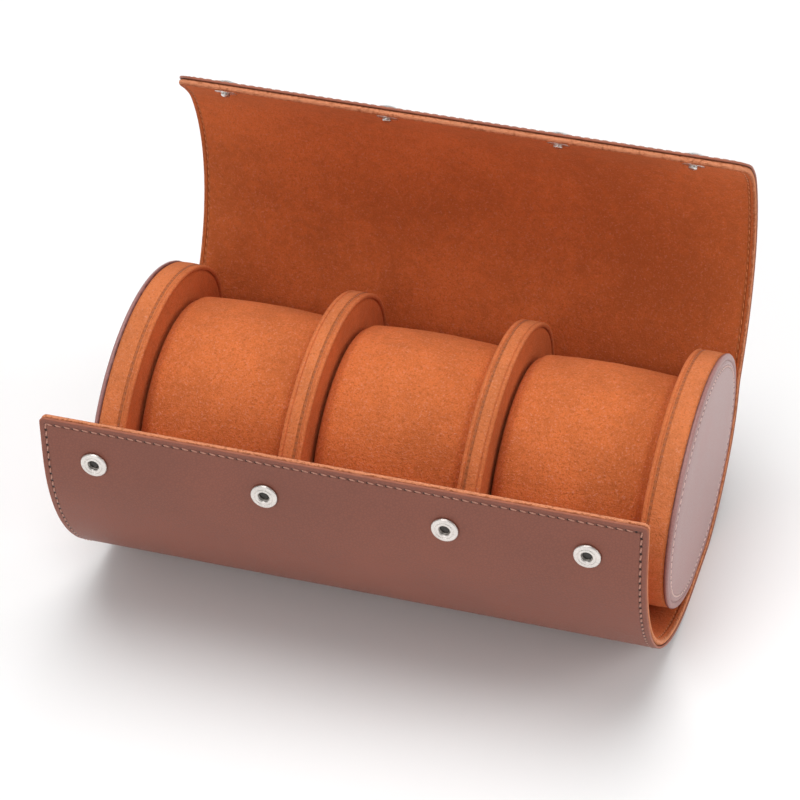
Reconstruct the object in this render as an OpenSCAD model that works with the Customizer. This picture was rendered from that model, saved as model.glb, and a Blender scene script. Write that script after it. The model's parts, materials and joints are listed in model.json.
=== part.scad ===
// Watch travel case: an oval roll that holds three watch pillows.
// A stiffened leather wrap is glued round two end discs and two dividers.
// Its front flap and its lid close over the pillows with four ring snaps.
// X runs along the row of pillows, Y to the back, Z up.
// The origin is on the table, under the middle of the discs.

/* [Case] */
// Length of the wrap along the row of pillows
case_len = 205; // [190:1:230]
// Depth of the oval discs, front to back
disc_w = 106; // [102:0.5:110]
// Height of the oval before its base is cut flat
oval_h = 80; // [77:0.5:83]
// Radius of the tight ends of the oval
oval_end_r = 30; // [27:0.5:33]
// Depth of the flat cut at the bottom of the oval
seat_cut = 1.1; // [0.8:0.1:1.6]

/* [Wrap layers] */
// Thickness of the outer leather
leather_t = 1.4; // [1.2:0.1:1.8]
// Thickness of the stiffener board
board_t = 1; // [0.8:0.1:1.4]
// Thickness of the suede lining
suede_t = 0.8; // [0.6:0.1:1]
// Width of the turned leather edge round each board
hem_w = 3; // [2:0.5:4]
// Clearance between the lining and the curved rims of the discs
rim_gap = 0.5; // [0.4:0.1:0.8]
// Open gap at each fold line of the wrap
fold_gap = 0.9; // [0.8:0.1:1]

/* [Front flap] */
// Radius of the outside of the open flap
flap_r = 78; // [74:1:82]
// Straight height of the flap above its curve
flap_rise = 15.5; // [13:0.5:18]
// Distance from the flat base to the first fold of the flap
flap_first_fold = 10; // [8:0.5:12]
// Distance from the flat base to the first of the close folds
flap_fold_start = 48; // [44:1:52]
// Spacing of the close folds of the flap
flap_fold_pitch = 14; // [12:0.5:15]
// Corner radius of the flap
flap_corner_r = 3; // [2:0.5:5]

/* [Lid] */
// Length of the lid from its root fold to its front edge
lid_len = 114.5; // [110:0.5:118]
// Radius of the lid's curve
lid_r = 76; // [70:1:84]
// Angle by which the open lid leans back at its root
lid_lean = 38; // [32:1:42]
// Spacing of the folds at the lid's root
lid_fold_pitch = 10.5; // [10:0.5:11]
// Width of the strip along the front edge that carries the studs
lid_strip_w = 26; // [22:1:30]
// Angle by which that strip is bent in towards the flap
lid_bend = 9.4; // [8:0.2:10]
// Corner radius of the lid
lid_corner_r = 14; // [8:1:16]

/* [Discs] */
// Thickness of each end disc
end_t = 10; // [8:0.5:13]
// Thickness of each divider
divider_t = 8; // [6:0.5:10]
// Distance from the end of the wrap to the outer face of an end disc
end_inset = 2; // [1:0.5:4]
// Thickness of the suede round and over the discs
disc_suede_t = 1; // [0.8:0.1:1.4]
// Thickness of the leather on the outer face of an end disc
face_leather_t = 1.2; // [1:0.1:1.6]
// Thickness of the round leather piping of an end disc
piping_d = 2.4; // [2:0.1:3]
// Thickness of the padded suede faces and of the bead sewn round them
bead_d = 1.6; // [1.2:0.1:2]

/* [Pillows] */
// Depth of a pillow, front to back
pillow_w = 84; // [78:1:88]
// Height of a pillow
pillow_h = 67; // [62:1:70]
// Clearance between a pillow and the suede at each side
pillow_gap = 0.8; // [0.6:0.1:1.5]
// Radius of the front and back of a pillow
pillow_end_r = 26; // [24:0.5:28]
// Radius of the soft edges of a pillow
pillow_edge_r = 7; // [5:0.5:9]
// Crown of a pillow, in the middle of its length
pillow_crown = 1.2; // [0:0.1:2]
// Thickness of the suede cover of a pillow
cover_t = 1.2; // [0.8:0.1:2]

/* [Snaps] */
// Places of the snaps along the case
snap_x = [-84, -25, 36, 83];
// Distance from the top edge of the flap to the sockets
socket_inset = 15.5; // [13:0.5:17]
// Distance from the front edge of the lid to the studs
stud_inset = 9.5; // [8:0.5:12]
// Diameter of a socket ring
socket_d = 9.2; // [8.4:0.1:10]
// Height of a socket ring above the leather
socket_h = 1.3; // [1:0.1:1.6]
// Diameter of the hole in a socket
socket_bore_d = 3.9; // [3.6:0.1:4.4]
// Diameter of a stud's neck
stud_d = 3; // [2.6:0.1:3.1]
// Length of a stud beyond its flange
stud_h = 1.8; // [1.5:0.1:2]
// Diameter of a stud's flange and of a rivet's head
flange_d = 8; // [7:0.1:8.6]
// Diameter of the outside caps
cap_d = 10; // [9:0.1:12]

/* [Hidden] */
$fn = 96;

LEATHER = [0.54, 0.35, 0.31];
SUEDE = [0.84, 0.45, 0.26];
BAND = [0.87, 0.55, 0.35];
BOARD = [0.60, 0.52, 0.42];
FOAM = [0.90, 0.88, 0.80];
STEEL = [0.80, 0.80, 0.80];
FAR = 400;
EPS = 0.01;

// Depths through the wrap, from the lining's face at 0 to the leather's face at wrap_t
wrap_t = suede_t + board_t + leather_t;
board_in = suede_t;
board_out = suede_t + board_t;
pivot_depth = wrap_t - leather_t / 2;

// An oval is [width, height, end radius]; four tangent arcs draw it
DISC = [disc_w, oval_h, oval_end_r];
PILLOW = [pillow_w, pillow_h, pillow_end_r];
function end_off(o) = o[0] / 2 - o[2];
function rise_off(o) = o[1] / 2 - o[2];
function big_off(o) = (pow(end_off(o), 2) - pow(rise_off(o), 2)) / (2 * rise_off(o));
function big_r(o) = o[1] / 2 + big_off(o);
// Point of an oval where its outward normal has the angle a
function oval_at(o, a, grow) =
    abs(sin(a)) <= sin(atan2(big_off(o), end_off(o)))
        ? [sign(cos(a)) * end_off(o), 0] + (o[2] + grow) * [cos(a), sin(a)]
        : [0, -sign(sin(a)) * big_off(o)] + (big_r(o) + grow) * [cos(a), sin(a)];

disc_h = oval_h - seat_cut;
disc_z = wrap_t + disc_h - oval_h / 2;
seat_half = sqrt(pow(big_r(DISC), 2) - pow(big_r(DISC) - seat_cut, 2));

// Flap: quarter circle from the flat base, then straight up
flap_y = -seat_half;
flap_top = flap_r + flap_rise;
flap_folds = [flap_first_fold, for (i = [0:3]) flap_fold_start + i * flap_fold_pitch];
flap_angles = [for (s = flap_folds) deg_on(s, flap_r)];
flap_gap_deg = deg_on(fold_gap / 2, flap_r);

// Lid: one circular arc that starts at the root fold in the leather
root_y = disc_w / 2 + rim_gap + pivot_depth;
root_r = lid_r + pivot_depth - wrap_t / 2;
lid_cy = root_y - root_r * cos(lid_lean);
lid_cz = disc_z + root_r * sin(lid_lean);
lid_folds = [for (i = [0:2]) i * lid_fold_pitch, lid_len - lid_strip_w];
lid_gap_deg = deg_on(fold_gap / 2, lid_r);
lid_end_deg = deg_on(lid_len, lid_r);

// Layout along the case
end_out = case_len / 2 - end_inset;
end_in = end_out - end_t;
bay_w = (2 * end_in - 2 * divider_t) / 3;
divider_x = bay_w / 2 + divider_t / 2;
pillow_x = bay_w + divider_t;
pillow_len = bay_w - 2 * pillow_gap;
foam_clear = 1;
pillow_z = wrap_t + pillow_gap / 2 + pillow_h / 2;
foam_inset = cover_t + pillow_crown + foam_clear;

// Snap parts
sink = 0.4;
shank_d = stud_d + 0.2;
shank_gap = 0.1;
rim_clear = 0.05;
flange_t = 0.7;
cap_t = 1.3;
spring_d = 0.4;
spring_z = 0.3;
socket_rim_r = 0.6;
stud_swell = 0.15;
pillow_seat = 0.5;
pillow_rings = 14;
pillow_sides = 48;
socket_z = flap_top - socket_inset;
flap_face_y = flap_y - flap_r;
stud_deg = lid_deg(lid_len - stud_inset);

function deg_on(s, r) = s / r * 180 / PI;
function lid_deg(s) = deg_on(s, lid_r) - lid_lean;

// Lay a section drawn in Y and Z along X
module along_x(len) {
    rotate([90, 0, 90]) translate([0, 0, -len / 2]) linear_extrude(len) children();
}

module span_x(x0, x1) {
    translate([(x0 + x1) / 2, 0, 0]) along_x(x1 - x0) children();
}

// Oval with every arc moved outwards by grow
module oval(o, grow) {
    for (side = [-1, 1]) {
        translate([side * end_off(o), 0]) circle(o[2] + grow);
        translate([0, -side * big_off(o)]) intersection() {
            circle(big_r(o) + grow);
            polygon([
                [0, 0],
                side * FAR * [-end_off(o), big_off(o)],
                side * FAR * [end_off(o), big_off(o)]
            ]);
        }
    }
}

// Disc section in place, cut flat where it stands on the lining
module disc_section(grow) {
    intersection() {
        translate([0, disc_z]) oval(DISC, grow);
        translate([-FAR, wrap_t - grow]) square([2 * FAR, FAR]);
    }
}

// Fixed trough of the wrap between two depths: flat base and curved back
module trough(depth0, depth1) {
    intersection() {
        difference() {
            trough_fill(depth1);
            trough_fill(depth0);
        }
        translate([flap_y, -EPS]) square([FAR, disc_z - fold_gap]);
    }
    flap_arc(depth0, depth1, 0, flap_angles[0] - flap_gap_deg);
}

module trough_fill(depth) {
    intersection() {
        translate([0, disc_z]) oval(DISC, rim_gap + depth);
        translate([-FAR, wrap_t - depth]) square([2 * FAR, FAR]);
    }
}

// Part of a ring between two angles about a centre, from a start direction
module ring_arc(r0, r1, from, to) {
    reach = 2 * r1;
    mid = (from + to) / 2;
    intersection() {
        difference() {
            circle(r1);
            circle(r0);
        }
        polygon([[0, 0], for (a = [from, mid, to]) reach * [cos(a), sin(a)]]);
    }
}

// Arc of the flap: angles start at the bottom and climb to the front
module flap_arc(depth0, depth1, from, to) {
    inner_r = flap_r - wrap_t;
    translate([flap_y, flap_r])
        ring_arc(inner_r + depth0, inner_r + depth1, 270 - to, 270 - from);
}

module flap_front_section(depth0, depth1, top_inset) {
    inner_r = flap_r - wrap_t;
    flap_arc(depth0, depth1, flap_angles[4] + flap_gap_deg, 90);
    translate([flap_y - inner_r - depth1, flap_r])
        square([depth1 - depth0, flap_rise - top_inset]);
}

// Arc of the lid: distances run from the root fold to the front edge
module lid_arc(depth0, depth1, from_deg, to_deg) {
    inner_r = lid_r - wrap_t / 2;
    translate([lid_cy, lid_cz]) ring_arc(inner_r + depth0, inner_r + depth1, from_deg, to_deg);
}

function lid_from(i) = lid_deg(lid_folds[i]) + lid_gap_deg;
function lid_to(i) = lid_deg(lid_folds[i + 1]) - lid_gap_deg;

// Place children on the outer face of the flap at the sockets, looking out
module at_sockets() {
    for (x = snap_x) translate([x, flap_face_y, socket_z]) rotate([90, 0, 0]) children();
}

// Place children on the inner face of the lid at the studs, looking in
module at_studs() {
    for (x = snap_x) translate([x, lid_cy, lid_cz]) rotate([stud_deg + 90, 0, 0])
        translate([0, 0, wrap_t / 2 - lid_r]) children();
}

// Round off the two top corners of the flap, for a layer inset from its edge
module flap_corner_cut(inset) {
    r = max(flap_corner_r - inset, EPS);
    for (side = [-1, 1]) translate([side * (case_len / 2 - inset), flap_face_y, flap_top - inset])
        rotate([90, 0, 0]) corner_cut(r, side, -1);
}

module lid_corner_cut(inset) {
    r = max(lid_corner_r - inset, EPS);
    tilt = lid_deg(lid_len - lid_corner_r / 2);
    edge = lid_deg(lid_len - inset);
    for (side = [-1, 1])
        translate([
            side * (case_len / 2 - inset),
            lid_cy + lid_r * cos(edge),
            lid_cz + lid_r * sin(edge)
        ])
            rotate([tilt - 90, 0, 0]) corner_cut(r, side, 1);
}

// Waste outside a rounded corner that sits at the origin
module corner_cut(r, side_x, side_y) {
    translate([-side_x * r, side_y * r, 0]) difference() {
        translate([side_x > 0 ? 0 : -2 * r, side_y > 0 ? -2 * r : 0, -FAR / 8]) cube([2 * r, 2 * r, FAR / 4]);
        cylinder(r = r, h = FAR, center = true);
    }
}

// Bend the front strip of the lid in at its own fold
module bent_in() {
    fold = lid_deg(lid_folds[3]);
    fold_y = lid_cy + root_r * cos(fold);
    fold_z = lid_cz + root_r * sin(fold);
    translate([0, fold_y, fold_z]) rotate([lid_bend, 0, 0]) translate([0, -fold_y, -fold_z])
        children();
}

// Leather panel: full depth behind the lining, with a pocket for its board
module wrap_base_leather() {
    color(LEATHER) difference() {
        along_x(case_len) trough(board_in, wrap_t);
        along_x(case_len - 2 * hem_w) trough(board_in, board_out);
    }
}

module wrap_base_board() {
    color(BOARD) along_x(case_len - 2 * hem_w) trough(board_in, board_out);
}

module wrap_base_lining() {
    color(SUEDE) along_x(case_len) trough(0, suede_t);
}

module flap_lower_leather() {
    color(LEATHER) difference() {
        along_x(case_len) flap_panel(0, board_in, wrap_t);
        along_x(case_len - 2 * hem_w) flap_panel(0, board_in, board_out);
    }
}

module flap_lower_board() {
    color(BOARD) along_x(case_len - 2 * hem_w) flap_panel(0, board_in, board_out);
}

module flap_lower_lining() {
    color(SUEDE) along_x(case_len) flap_panel(0, 0, suede_t);
}

module flap_panel(i, depth0, depth1) {
    flap_arc(depth0, depth1, flap_angles[i] + flap_gap_deg, flap_angles[i + 1] - flap_gap_deg);
}

// Fold strips have no board: the lining is bonded straight to the leather
module flap_fold_leather(i) {
    color(LEATHER) along_x(case_len) flap_panel(i, board_out, wrap_t);
}

module flap_fold_lining(i) {
    color(SUEDE) along_x(case_len) flap_panel(i, board_in + board_t - suede_t, board_out);
}

module flap_front_leather() {
    color(LEATHER) difference() {
        along_x(case_len) flap_front_section(board_in, wrap_t, 0);
        along_x(case_len - 2 * hem_w) flap_front_section(board_in, board_out, hem_w);
        flap_corner_cut(0);
        socket_holes();
        at_sockets() translate([0, 0, -sink]) cylinder(d = socket_d + shank_gap, h = wrap_t);
    }
}

module flap_front_board() {
    color(BOARD) difference() {
        along_x(case_len - 2 * hem_w) flap_front_section(board_in, board_out, hem_w);
        socket_holes();
    }
}

module flap_front_lining() {
    color(SUEDE) difference() {
        along_x(case_len) flap_front_section(0, suede_t, 0);
        flap_corner_cut(0);
        socket_holes();
    }
}

// Bores for the rivets, with a shallow seat for their heads in the lining
module socket_holes() {
    at_sockets() {
        cylinder(d = shank_d + 2 * shank_gap, h = 4 * wrap_t, center = true);
        translate([0, 0, -wrap_t - sink]) cylinder(d = flange_d + 2 * shank_gap, h = 2 * sink);
    }
}

module lid_fold_leather(i) {
    color(LEATHER) along_x(case_len) lid_arc(board_out, wrap_t, lid_from(i), lid_to(i));
}

module lid_fold_lining(i) {
    color(SUEDE) along_x(case_len) lid_arc(board_out - suede_t, board_out, lid_from(i), lid_to(i));
}

module lid_panel_leather() {
    color(LEATHER) difference() {
        along_x(case_len) lid_panel(board_in, wrap_t);
        along_x(case_len - 2 * hem_w) lid_panel(board_in, board_out);
    }
}

module lid_panel_board() {
    color(BOARD) along_x(case_len - 2 * hem_w) lid_panel(board_in, board_out);
}

module lid_panel_lining() {
    color(SUEDE) along_x(case_len) lid_panel(0, suede_t);
}

module lid_panel(depth0, depth1) {
    lid_arc(depth0, depth1, lid_from(2), lid_to(2));
}

module lid_front_leather() {
    color(LEATHER) bent_in() difference() {
        along_x(case_len) lid_arc(board_in, wrap_t, lid_from(3), lid_deg(lid_len));
        lid_board_pocket();
        lid_corner_cut(0);
        stud_holes();
    }
}

module lid_board_pocket() {
    difference() {
        along_x(case_len - 2 * hem_w)
            lid_arc(board_in, board_out, lid_from(3), lid_deg(lid_len - hem_w));
        lid_corner_cut(hem_w);
    }
}

module lid_front_board() {
    color(BOARD) bent_in() difference() {
        lid_board_pocket();
        stud_holes();
    }
}

module lid_front_lining() {
    color(SUEDE) bent_in() difference() {
        along_x(case_len) lid_arc(0, suede_t, lid_from(3), lid_deg(lid_len));
        lid_corner_cut(0);
        stud_holes();
    }
}

module stud_holes() {
    at_studs() {
        cylinder(d = shank_d + 2 * shank_gap, h = 4 * wrap_t, center = true);
        translate([0, 0, -sink]) cylinder(d = flange_d + 2 * shank_gap, h = wrap_t);
        translate([0, 0, -wrap_t - wrap_t + sink]) cylinder(d = cap_d + 2 * shank_gap, h = wrap_t);
    }
}

// Round cord of thickness d that follows the rim of a disc, pressed flat on the lining
module rim_cord(d, stations, sides) {
    points = [
        for (i = [0:stations - 1])
            let (a = 360 * i / stations, p = oval_at(DISC, a, -d / 2))
                for (k = [0:sides - 1])
                    let (b = 360 * (k + 0.5) / sides, out = d / 2 * cos(b))
                        [
                            d / 2 * sin(b),
                            p[0] + out * cos(a),
                            max(disc_z + p[1] + out * sin(a), wrap_t)
                        ]
    ];
    faces = [
        for (i = [0:stations - 1]) for (k = [0:sides - 1])
            let (next = (i + 1) % stations * sides, k2 = (k + 1) % sides, here = i * sides)
                each [
                    [here + k, here + k2, next + k],
                    [here + k2, next + k2, next + k]
                ]
    ];
    polyhedron(points, faces);
}

// End discs are drawn for the right end and mirrored for the left
module at_end(side) {
    mirror([side < 0 ? 1 : 0, 0, 0]) children();
}

module end_core(side) {
    color(BOARD) at_end(side) {
        span_x(end_in + bead_d, end_out - piping_d) disc_section(-disc_suede_t);
        span_x(end_in + bead_d, end_out - face_leather_t) disc_section(-piping_d - rim_clear);
    }
}

module end_face(side) {
    color(LEATHER) at_end(side) span_x(end_out - face_leather_t, end_out)
        disc_section(-piping_d - rim_clear);
}

module end_piping(side) {
    color(LEATHER) at_end(side) translate([end_out - piping_d / 2, 0, 0])
        rim_cord(piping_d, 60, 10);
}

module end_band(side) {
    color(BAND) at_end(side) rim_band(end_in + bead_d, end_out - piping_d);
}

// Suede glued round the edge of a disc
module rim_band(x0, x1) {
    difference() {
        span_x(x0, x1) disc_section(0);
        span_x(x0 - 1, x1 + 1) disc_section(-disc_suede_t);
    }
}

module end_pad(side) {
    color(SUEDE) at_end(side) translate([end_in, 0, 0]) face_pad();
}

// Padded suede face with the bead sewn round its rim, facing a pillow at X = 0
module face_pad() {
    span_x(0, bead_d) disc_section(-0.75 * bead_d);
    translate([bead_d / 2, 0, 0]) rim_cord(bead_d, 48, 6);
}

module divider_core(side) {
    half = divider_t / 2 - bead_d;
    color(BOARD) translate([side * divider_x, 0, 0]) span_x(-half, half)
        disc_section(-disc_suede_t);
}

module divider_band(side) {
    half = divider_t / 2 - bead_d;
    color(BAND) translate([side * divider_x, 0, 0]) rim_band(-half, half);
}

module divider_pads(side) {
    color(SUEDE) for (face = [0, 1]) translate([side * divider_x, 0, 0]) mirror([face, 0, 0])
        translate([-divider_t / 2, 0, 0]) face_pad();
}

// Soft pillow: oval rings drawn in at both ends and crowned in the middle
function pillow_ring(x, inset) = [
    for (k = [0:pillow_sides - 1])
        let (p = oval_at(PILLOW, 360 * k / pillow_sides, -inset))
            [x, p[0], max(p[1], pillow_seat - pillow_h / 2)]
];
// The outer half of the stations runs round the soft edge, the inner half over the crown
function pillow_station(i) =
    let (u = 2 * i / (pillow_rings - 1) - 1,
        edge = abs(u) > 0.5,
        turn = edge ? (abs(u) - 0.5) * 180 : 0,
        straight = pillow_len / 2 - pillow_edge_r,
        x = edge ? straight + pillow_edge_r * sin(turn) : abs(u) * 2 * straight,
        inset = edge
            ? pillow_crown + (pillow_edge_r - pillow_crown) * (1 - cos(turn))
            : pillow_crown * pow(abs(u) * 2, 2))
        [(u < 0 ? -1 : 1) * x, inset];

module pillow_form() {
    rings = [for (i = [0:pillow_rings - 1]) let (s = pillow_station(i)) pillow_ring(s[0], s[1])];
    n = pillow_sides;
    last = (pillow_rings - 1) * n;
    sides = [
        for (i = [0:pillow_rings - 2]) for (k = [0:n - 1])
            let (a = i * n + k, b = i * n + (k + 1) % n)
                each [[a, b, a + n], [b, b + n, a + n]]
    ];
    caps = [for (k = [1:n - 2]) each [[0, k + 1, k], [last, last + k, last + k + 1]]];
    polyhedron([for (r = rings) each r], concat(sides, caps));
}

// Foam inside the cover, clear of its soft edges
module pillow_core_form() {
    along_x(pillow_len - pillow_edge_r) oval(PILLOW, -foam_inset);
}

module pillow_foam(i) {
    color(FOAM) translate([i * pillow_x, 0, pillow_z]) pillow_core_form();
}

module pillow_cover(i) {
    color(SUEDE) translate([i * pillow_x, 0, pillow_z]) difference() {
        pillow_form();
        pillow_core_form();
    }
}

// Ring snap on the flap: rounded ring with its bore, seated in the leather
module snap_sockets() {
    rim = socket_rim_r;
    color(STEEL) at_sockets() rotate_extrude() difference() {
        union() {
            translate([0, -sink]) square([socket_d / 2, sink + socket_h - rim]);
            translate([0, -sink]) square([socket_d / 2 - rim, sink + socket_h]);
            translate([socket_d / 2 - rim, socket_h - rim]) circle(rim, $fn = 32);
        }
        translate([-FAR, -FAR]) square([FAR, 2 * FAR]);
        translate([-EPS, -2 * sink]) square([socket_bore_d / 2 + EPS, 2 * socket_h + 2 * sink]);
        translate([socket_bore_d / 2 - EPS, spring_z - spring_d / 2 - shank_gap])
            square([spring_d + 2 * shank_gap, spring_d + 2 * shank_gap]);
    }
}

// Spring ring that grips the stud, in the groove of each socket
module snap_springs() {
    color(STEEL) at_sockets() rotate_extrude()
        translate([socket_bore_d / 2 + spring_d / 2, spring_z]) circle(d = spring_d, $fn = 24);
}

// Rivet that holds each socket from inside the flap
module snap_rivets() {
    color(STEEL) at_sockets() {
        translate([0, 0, -wrap_t]) cylinder(d = shank_d, h = wrap_t - sink - 2 * shank_gap);
        translate([0, 0, -wrap_t - flange_t + sink]) cylinder(d = flange_d, h = flange_t);
    }
}

// Stud on the inner face of the lid: flange, neck and rounded head
module snap_studs() {
    head = stud_d / 2 + stud_swell;
    color(STEEL) bent_in() at_studs() rotate_extrude() {
        translate([0, -sink]) square([flange_d / 2, flange_t]);
        square([stud_d / 2, flange_t - sink + stud_h]);
        translate([0, flange_t - sink + stud_h - head]) intersection() {
            circle(head, $fn = 48);
            square([head, head]);
        }
    }
}

// Domed cap outside the lid, riveted through to its stud
module snap_caps() {
    dome_r = (cap_d * cap_d / 4 + cap_t * cap_t) / (2 * cap_t);
    color(STEEL) bent_in() at_studs() {
        translate([0, 0, -wrap_t + sink]) mirror([0, 0, 1]) rotate_extrude() intersection() {
            translate([0, cap_t - dome_r]) circle(dome_r, $fn = 128);
            square([cap_d / 2, cap_t]);
        }
        translate([0, 0, -wrap_t + sink - EPS]) cylinder(d = shank_d, h = wrap_t - 2 * sink - shank_gap);
    }
}

wrap_base_leather();
wrap_base_board();
wrap_base_lining();
flap_lower_leather();
flap_lower_board();
flap_lower_lining();
flap_fold_leather(1);  // flap_fold_1_leather
flap_fold_lining(1);  // flap_fold_1_lining
flap_fold_leather(2);  // flap_fold_2_leather
flap_fold_lining(2);  // flap_fold_2_lining
flap_fold_leather(3);  // flap_fold_3_leather
flap_fold_lining(3);  // flap_fold_3_lining
flap_front_leather();
flap_front_board();
flap_front_lining();
lid_fold_leather(0);  // lid_fold_1_leather
lid_fold_lining(0);  // lid_fold_1_lining
lid_fold_leather(1);  // lid_fold_2_leather
lid_fold_lining(1);  // lid_fold_2_lining
lid_panel_leather();
lid_panel_board();
lid_panel_lining();
lid_front_leather();
lid_front_board();
lid_front_lining();
end_core(-1);  // end_left_core
end_face(-1);  // end_left_face
end_piping(-1);  // end_left_piping
end_band(-1);  // end_left_band
end_pad(-1);  // end_left_pad
end_core(1);  // end_right_core
end_face(1);  // end_right_face
end_piping(1);  // end_right_piping
end_band(1);  // end_right_band
end_pad(1);  // end_right_pad
divider_core(-1);  // divider_left_core
divider_band(-1);  // divider_left_band
divider_pads(-1);  // divider_left_pads
divider_core(1);  // divider_right_core
divider_band(1);  // divider_right_band
divider_pads(1);  // divider_right_pads
pillow_foam(-1);  // pillow_left_foam
pillow_cover(-1);  // pillow_left_cover
pillow_foam(0);  // pillow_middle_foam
pillow_cover(0);  // pillow_middle_cover
pillow_foam(1);  // pillow_right_foam
pillow_cover(1);  // pillow_right_cover
snap_sockets();
snap_springs();
snap_rivets();
snap_studs();
snap_caps();
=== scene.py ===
"""Dressed scene of the watch travel case: leather wrap, suede lining, padded discs, pillows and snaps.

Sizes are in millimetres, as in the part's source, and every finished mesh is in metres.
"""

from dataclasses import dataclass, field
from enum import Enum
from functools import cached_property
import json
import logging
import math

import bmesh
import bpy
from mathutils import Matrix, Vector
import numpy as np

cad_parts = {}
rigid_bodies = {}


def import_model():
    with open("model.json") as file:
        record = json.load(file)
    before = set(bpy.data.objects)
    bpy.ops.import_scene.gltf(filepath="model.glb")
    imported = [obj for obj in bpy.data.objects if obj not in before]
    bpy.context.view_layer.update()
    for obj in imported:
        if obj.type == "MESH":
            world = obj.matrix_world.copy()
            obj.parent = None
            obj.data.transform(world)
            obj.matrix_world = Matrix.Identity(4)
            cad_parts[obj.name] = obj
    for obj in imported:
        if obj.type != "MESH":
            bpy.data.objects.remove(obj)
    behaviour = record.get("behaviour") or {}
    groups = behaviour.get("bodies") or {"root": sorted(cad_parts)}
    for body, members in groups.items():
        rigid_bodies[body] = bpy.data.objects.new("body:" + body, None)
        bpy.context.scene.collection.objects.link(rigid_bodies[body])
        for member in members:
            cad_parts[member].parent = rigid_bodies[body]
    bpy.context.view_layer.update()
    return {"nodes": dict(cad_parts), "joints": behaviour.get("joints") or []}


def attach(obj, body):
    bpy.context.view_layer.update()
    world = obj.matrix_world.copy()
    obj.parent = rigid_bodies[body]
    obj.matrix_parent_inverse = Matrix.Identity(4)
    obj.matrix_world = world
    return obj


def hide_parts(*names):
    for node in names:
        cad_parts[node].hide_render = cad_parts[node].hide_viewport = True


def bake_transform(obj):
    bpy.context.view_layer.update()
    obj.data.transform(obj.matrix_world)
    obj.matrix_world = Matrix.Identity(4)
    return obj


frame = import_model()
LOG = logging.getLogger("watch_case")
MM = 0.001
FLOAT = "NodeSocketFloat"
VECTOR = "NodeSocketVector"

# Sewn lines: distance from the edge, and from stitch to stitch.
WRAP_SEAM = (2.3, 3.15)
FACE_SEAM = (4.6, 2.8)
BAND_SEAM = (0.0, 2.2)
# Value of edge_mm and run_mm on a piece that has none.
NO_EDGE = 50.0
# Distances in metres under which points are merged and edges are dissolved.
MERGE = 2e-6
DISSOLVE = 1e-6

Colour = tuple[float, float, float]
Span = tuple[float, float]
GROUPS: dict[str, bpy.types.NodeTree] = {}


class Side(Enum):
    """Side of the case on which a piece stands."""

    LEFT = -1
    MIDDLE = 0
    RIGHT = 1


@dataclass(frozen=True)
class Stitch:
    """Half sizes of a stitch, its length as a share of the pitch, and how deep it sinks into the sheet."""

    long: float
    wide: float
    tall: float
    sunk: float = 0.0


@dataclass(frozen=True)
class Sheet:
    """A layer of the wrap: lowest and highest depth, how far its edge stands back, and its finishes."""

    low: float
    high: float
    inset: float
    finish: str
    thread: str
    stitch: Stitch


class Layer(Enum):
    """Layer of the wrap."""

    LEATHER = Sheet(2.35, 3.2, 0.0, "outer_leather", "leather_thread", Stitch(0.36, 0.36, 0.30, 0.06))
    LINING = Sheet(0.0, 2.3, 0.12, "lining_suede", "suede_thread", Stitch(0.34, 0.26, 0.22, 0.10))


# Colours and node helpers.


def linear(r: int, g: int, b: int) -> Colour:
    """Turn an sRGB colour of 0 to 255 into linear values.

    Args:
        r: Red.
        g: Green.
        b: Blue.

    Returns:
        The three linear values.
    """
    def one(v: float) -> float:
        """Apply the sRGB curve to one channel."""
        v /= 255
        return v / 12.92 if v <= 0.04045 else ((v + 0.055) / 1.055) ** 2.4
    return one(r), one(g), one(b)


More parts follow.
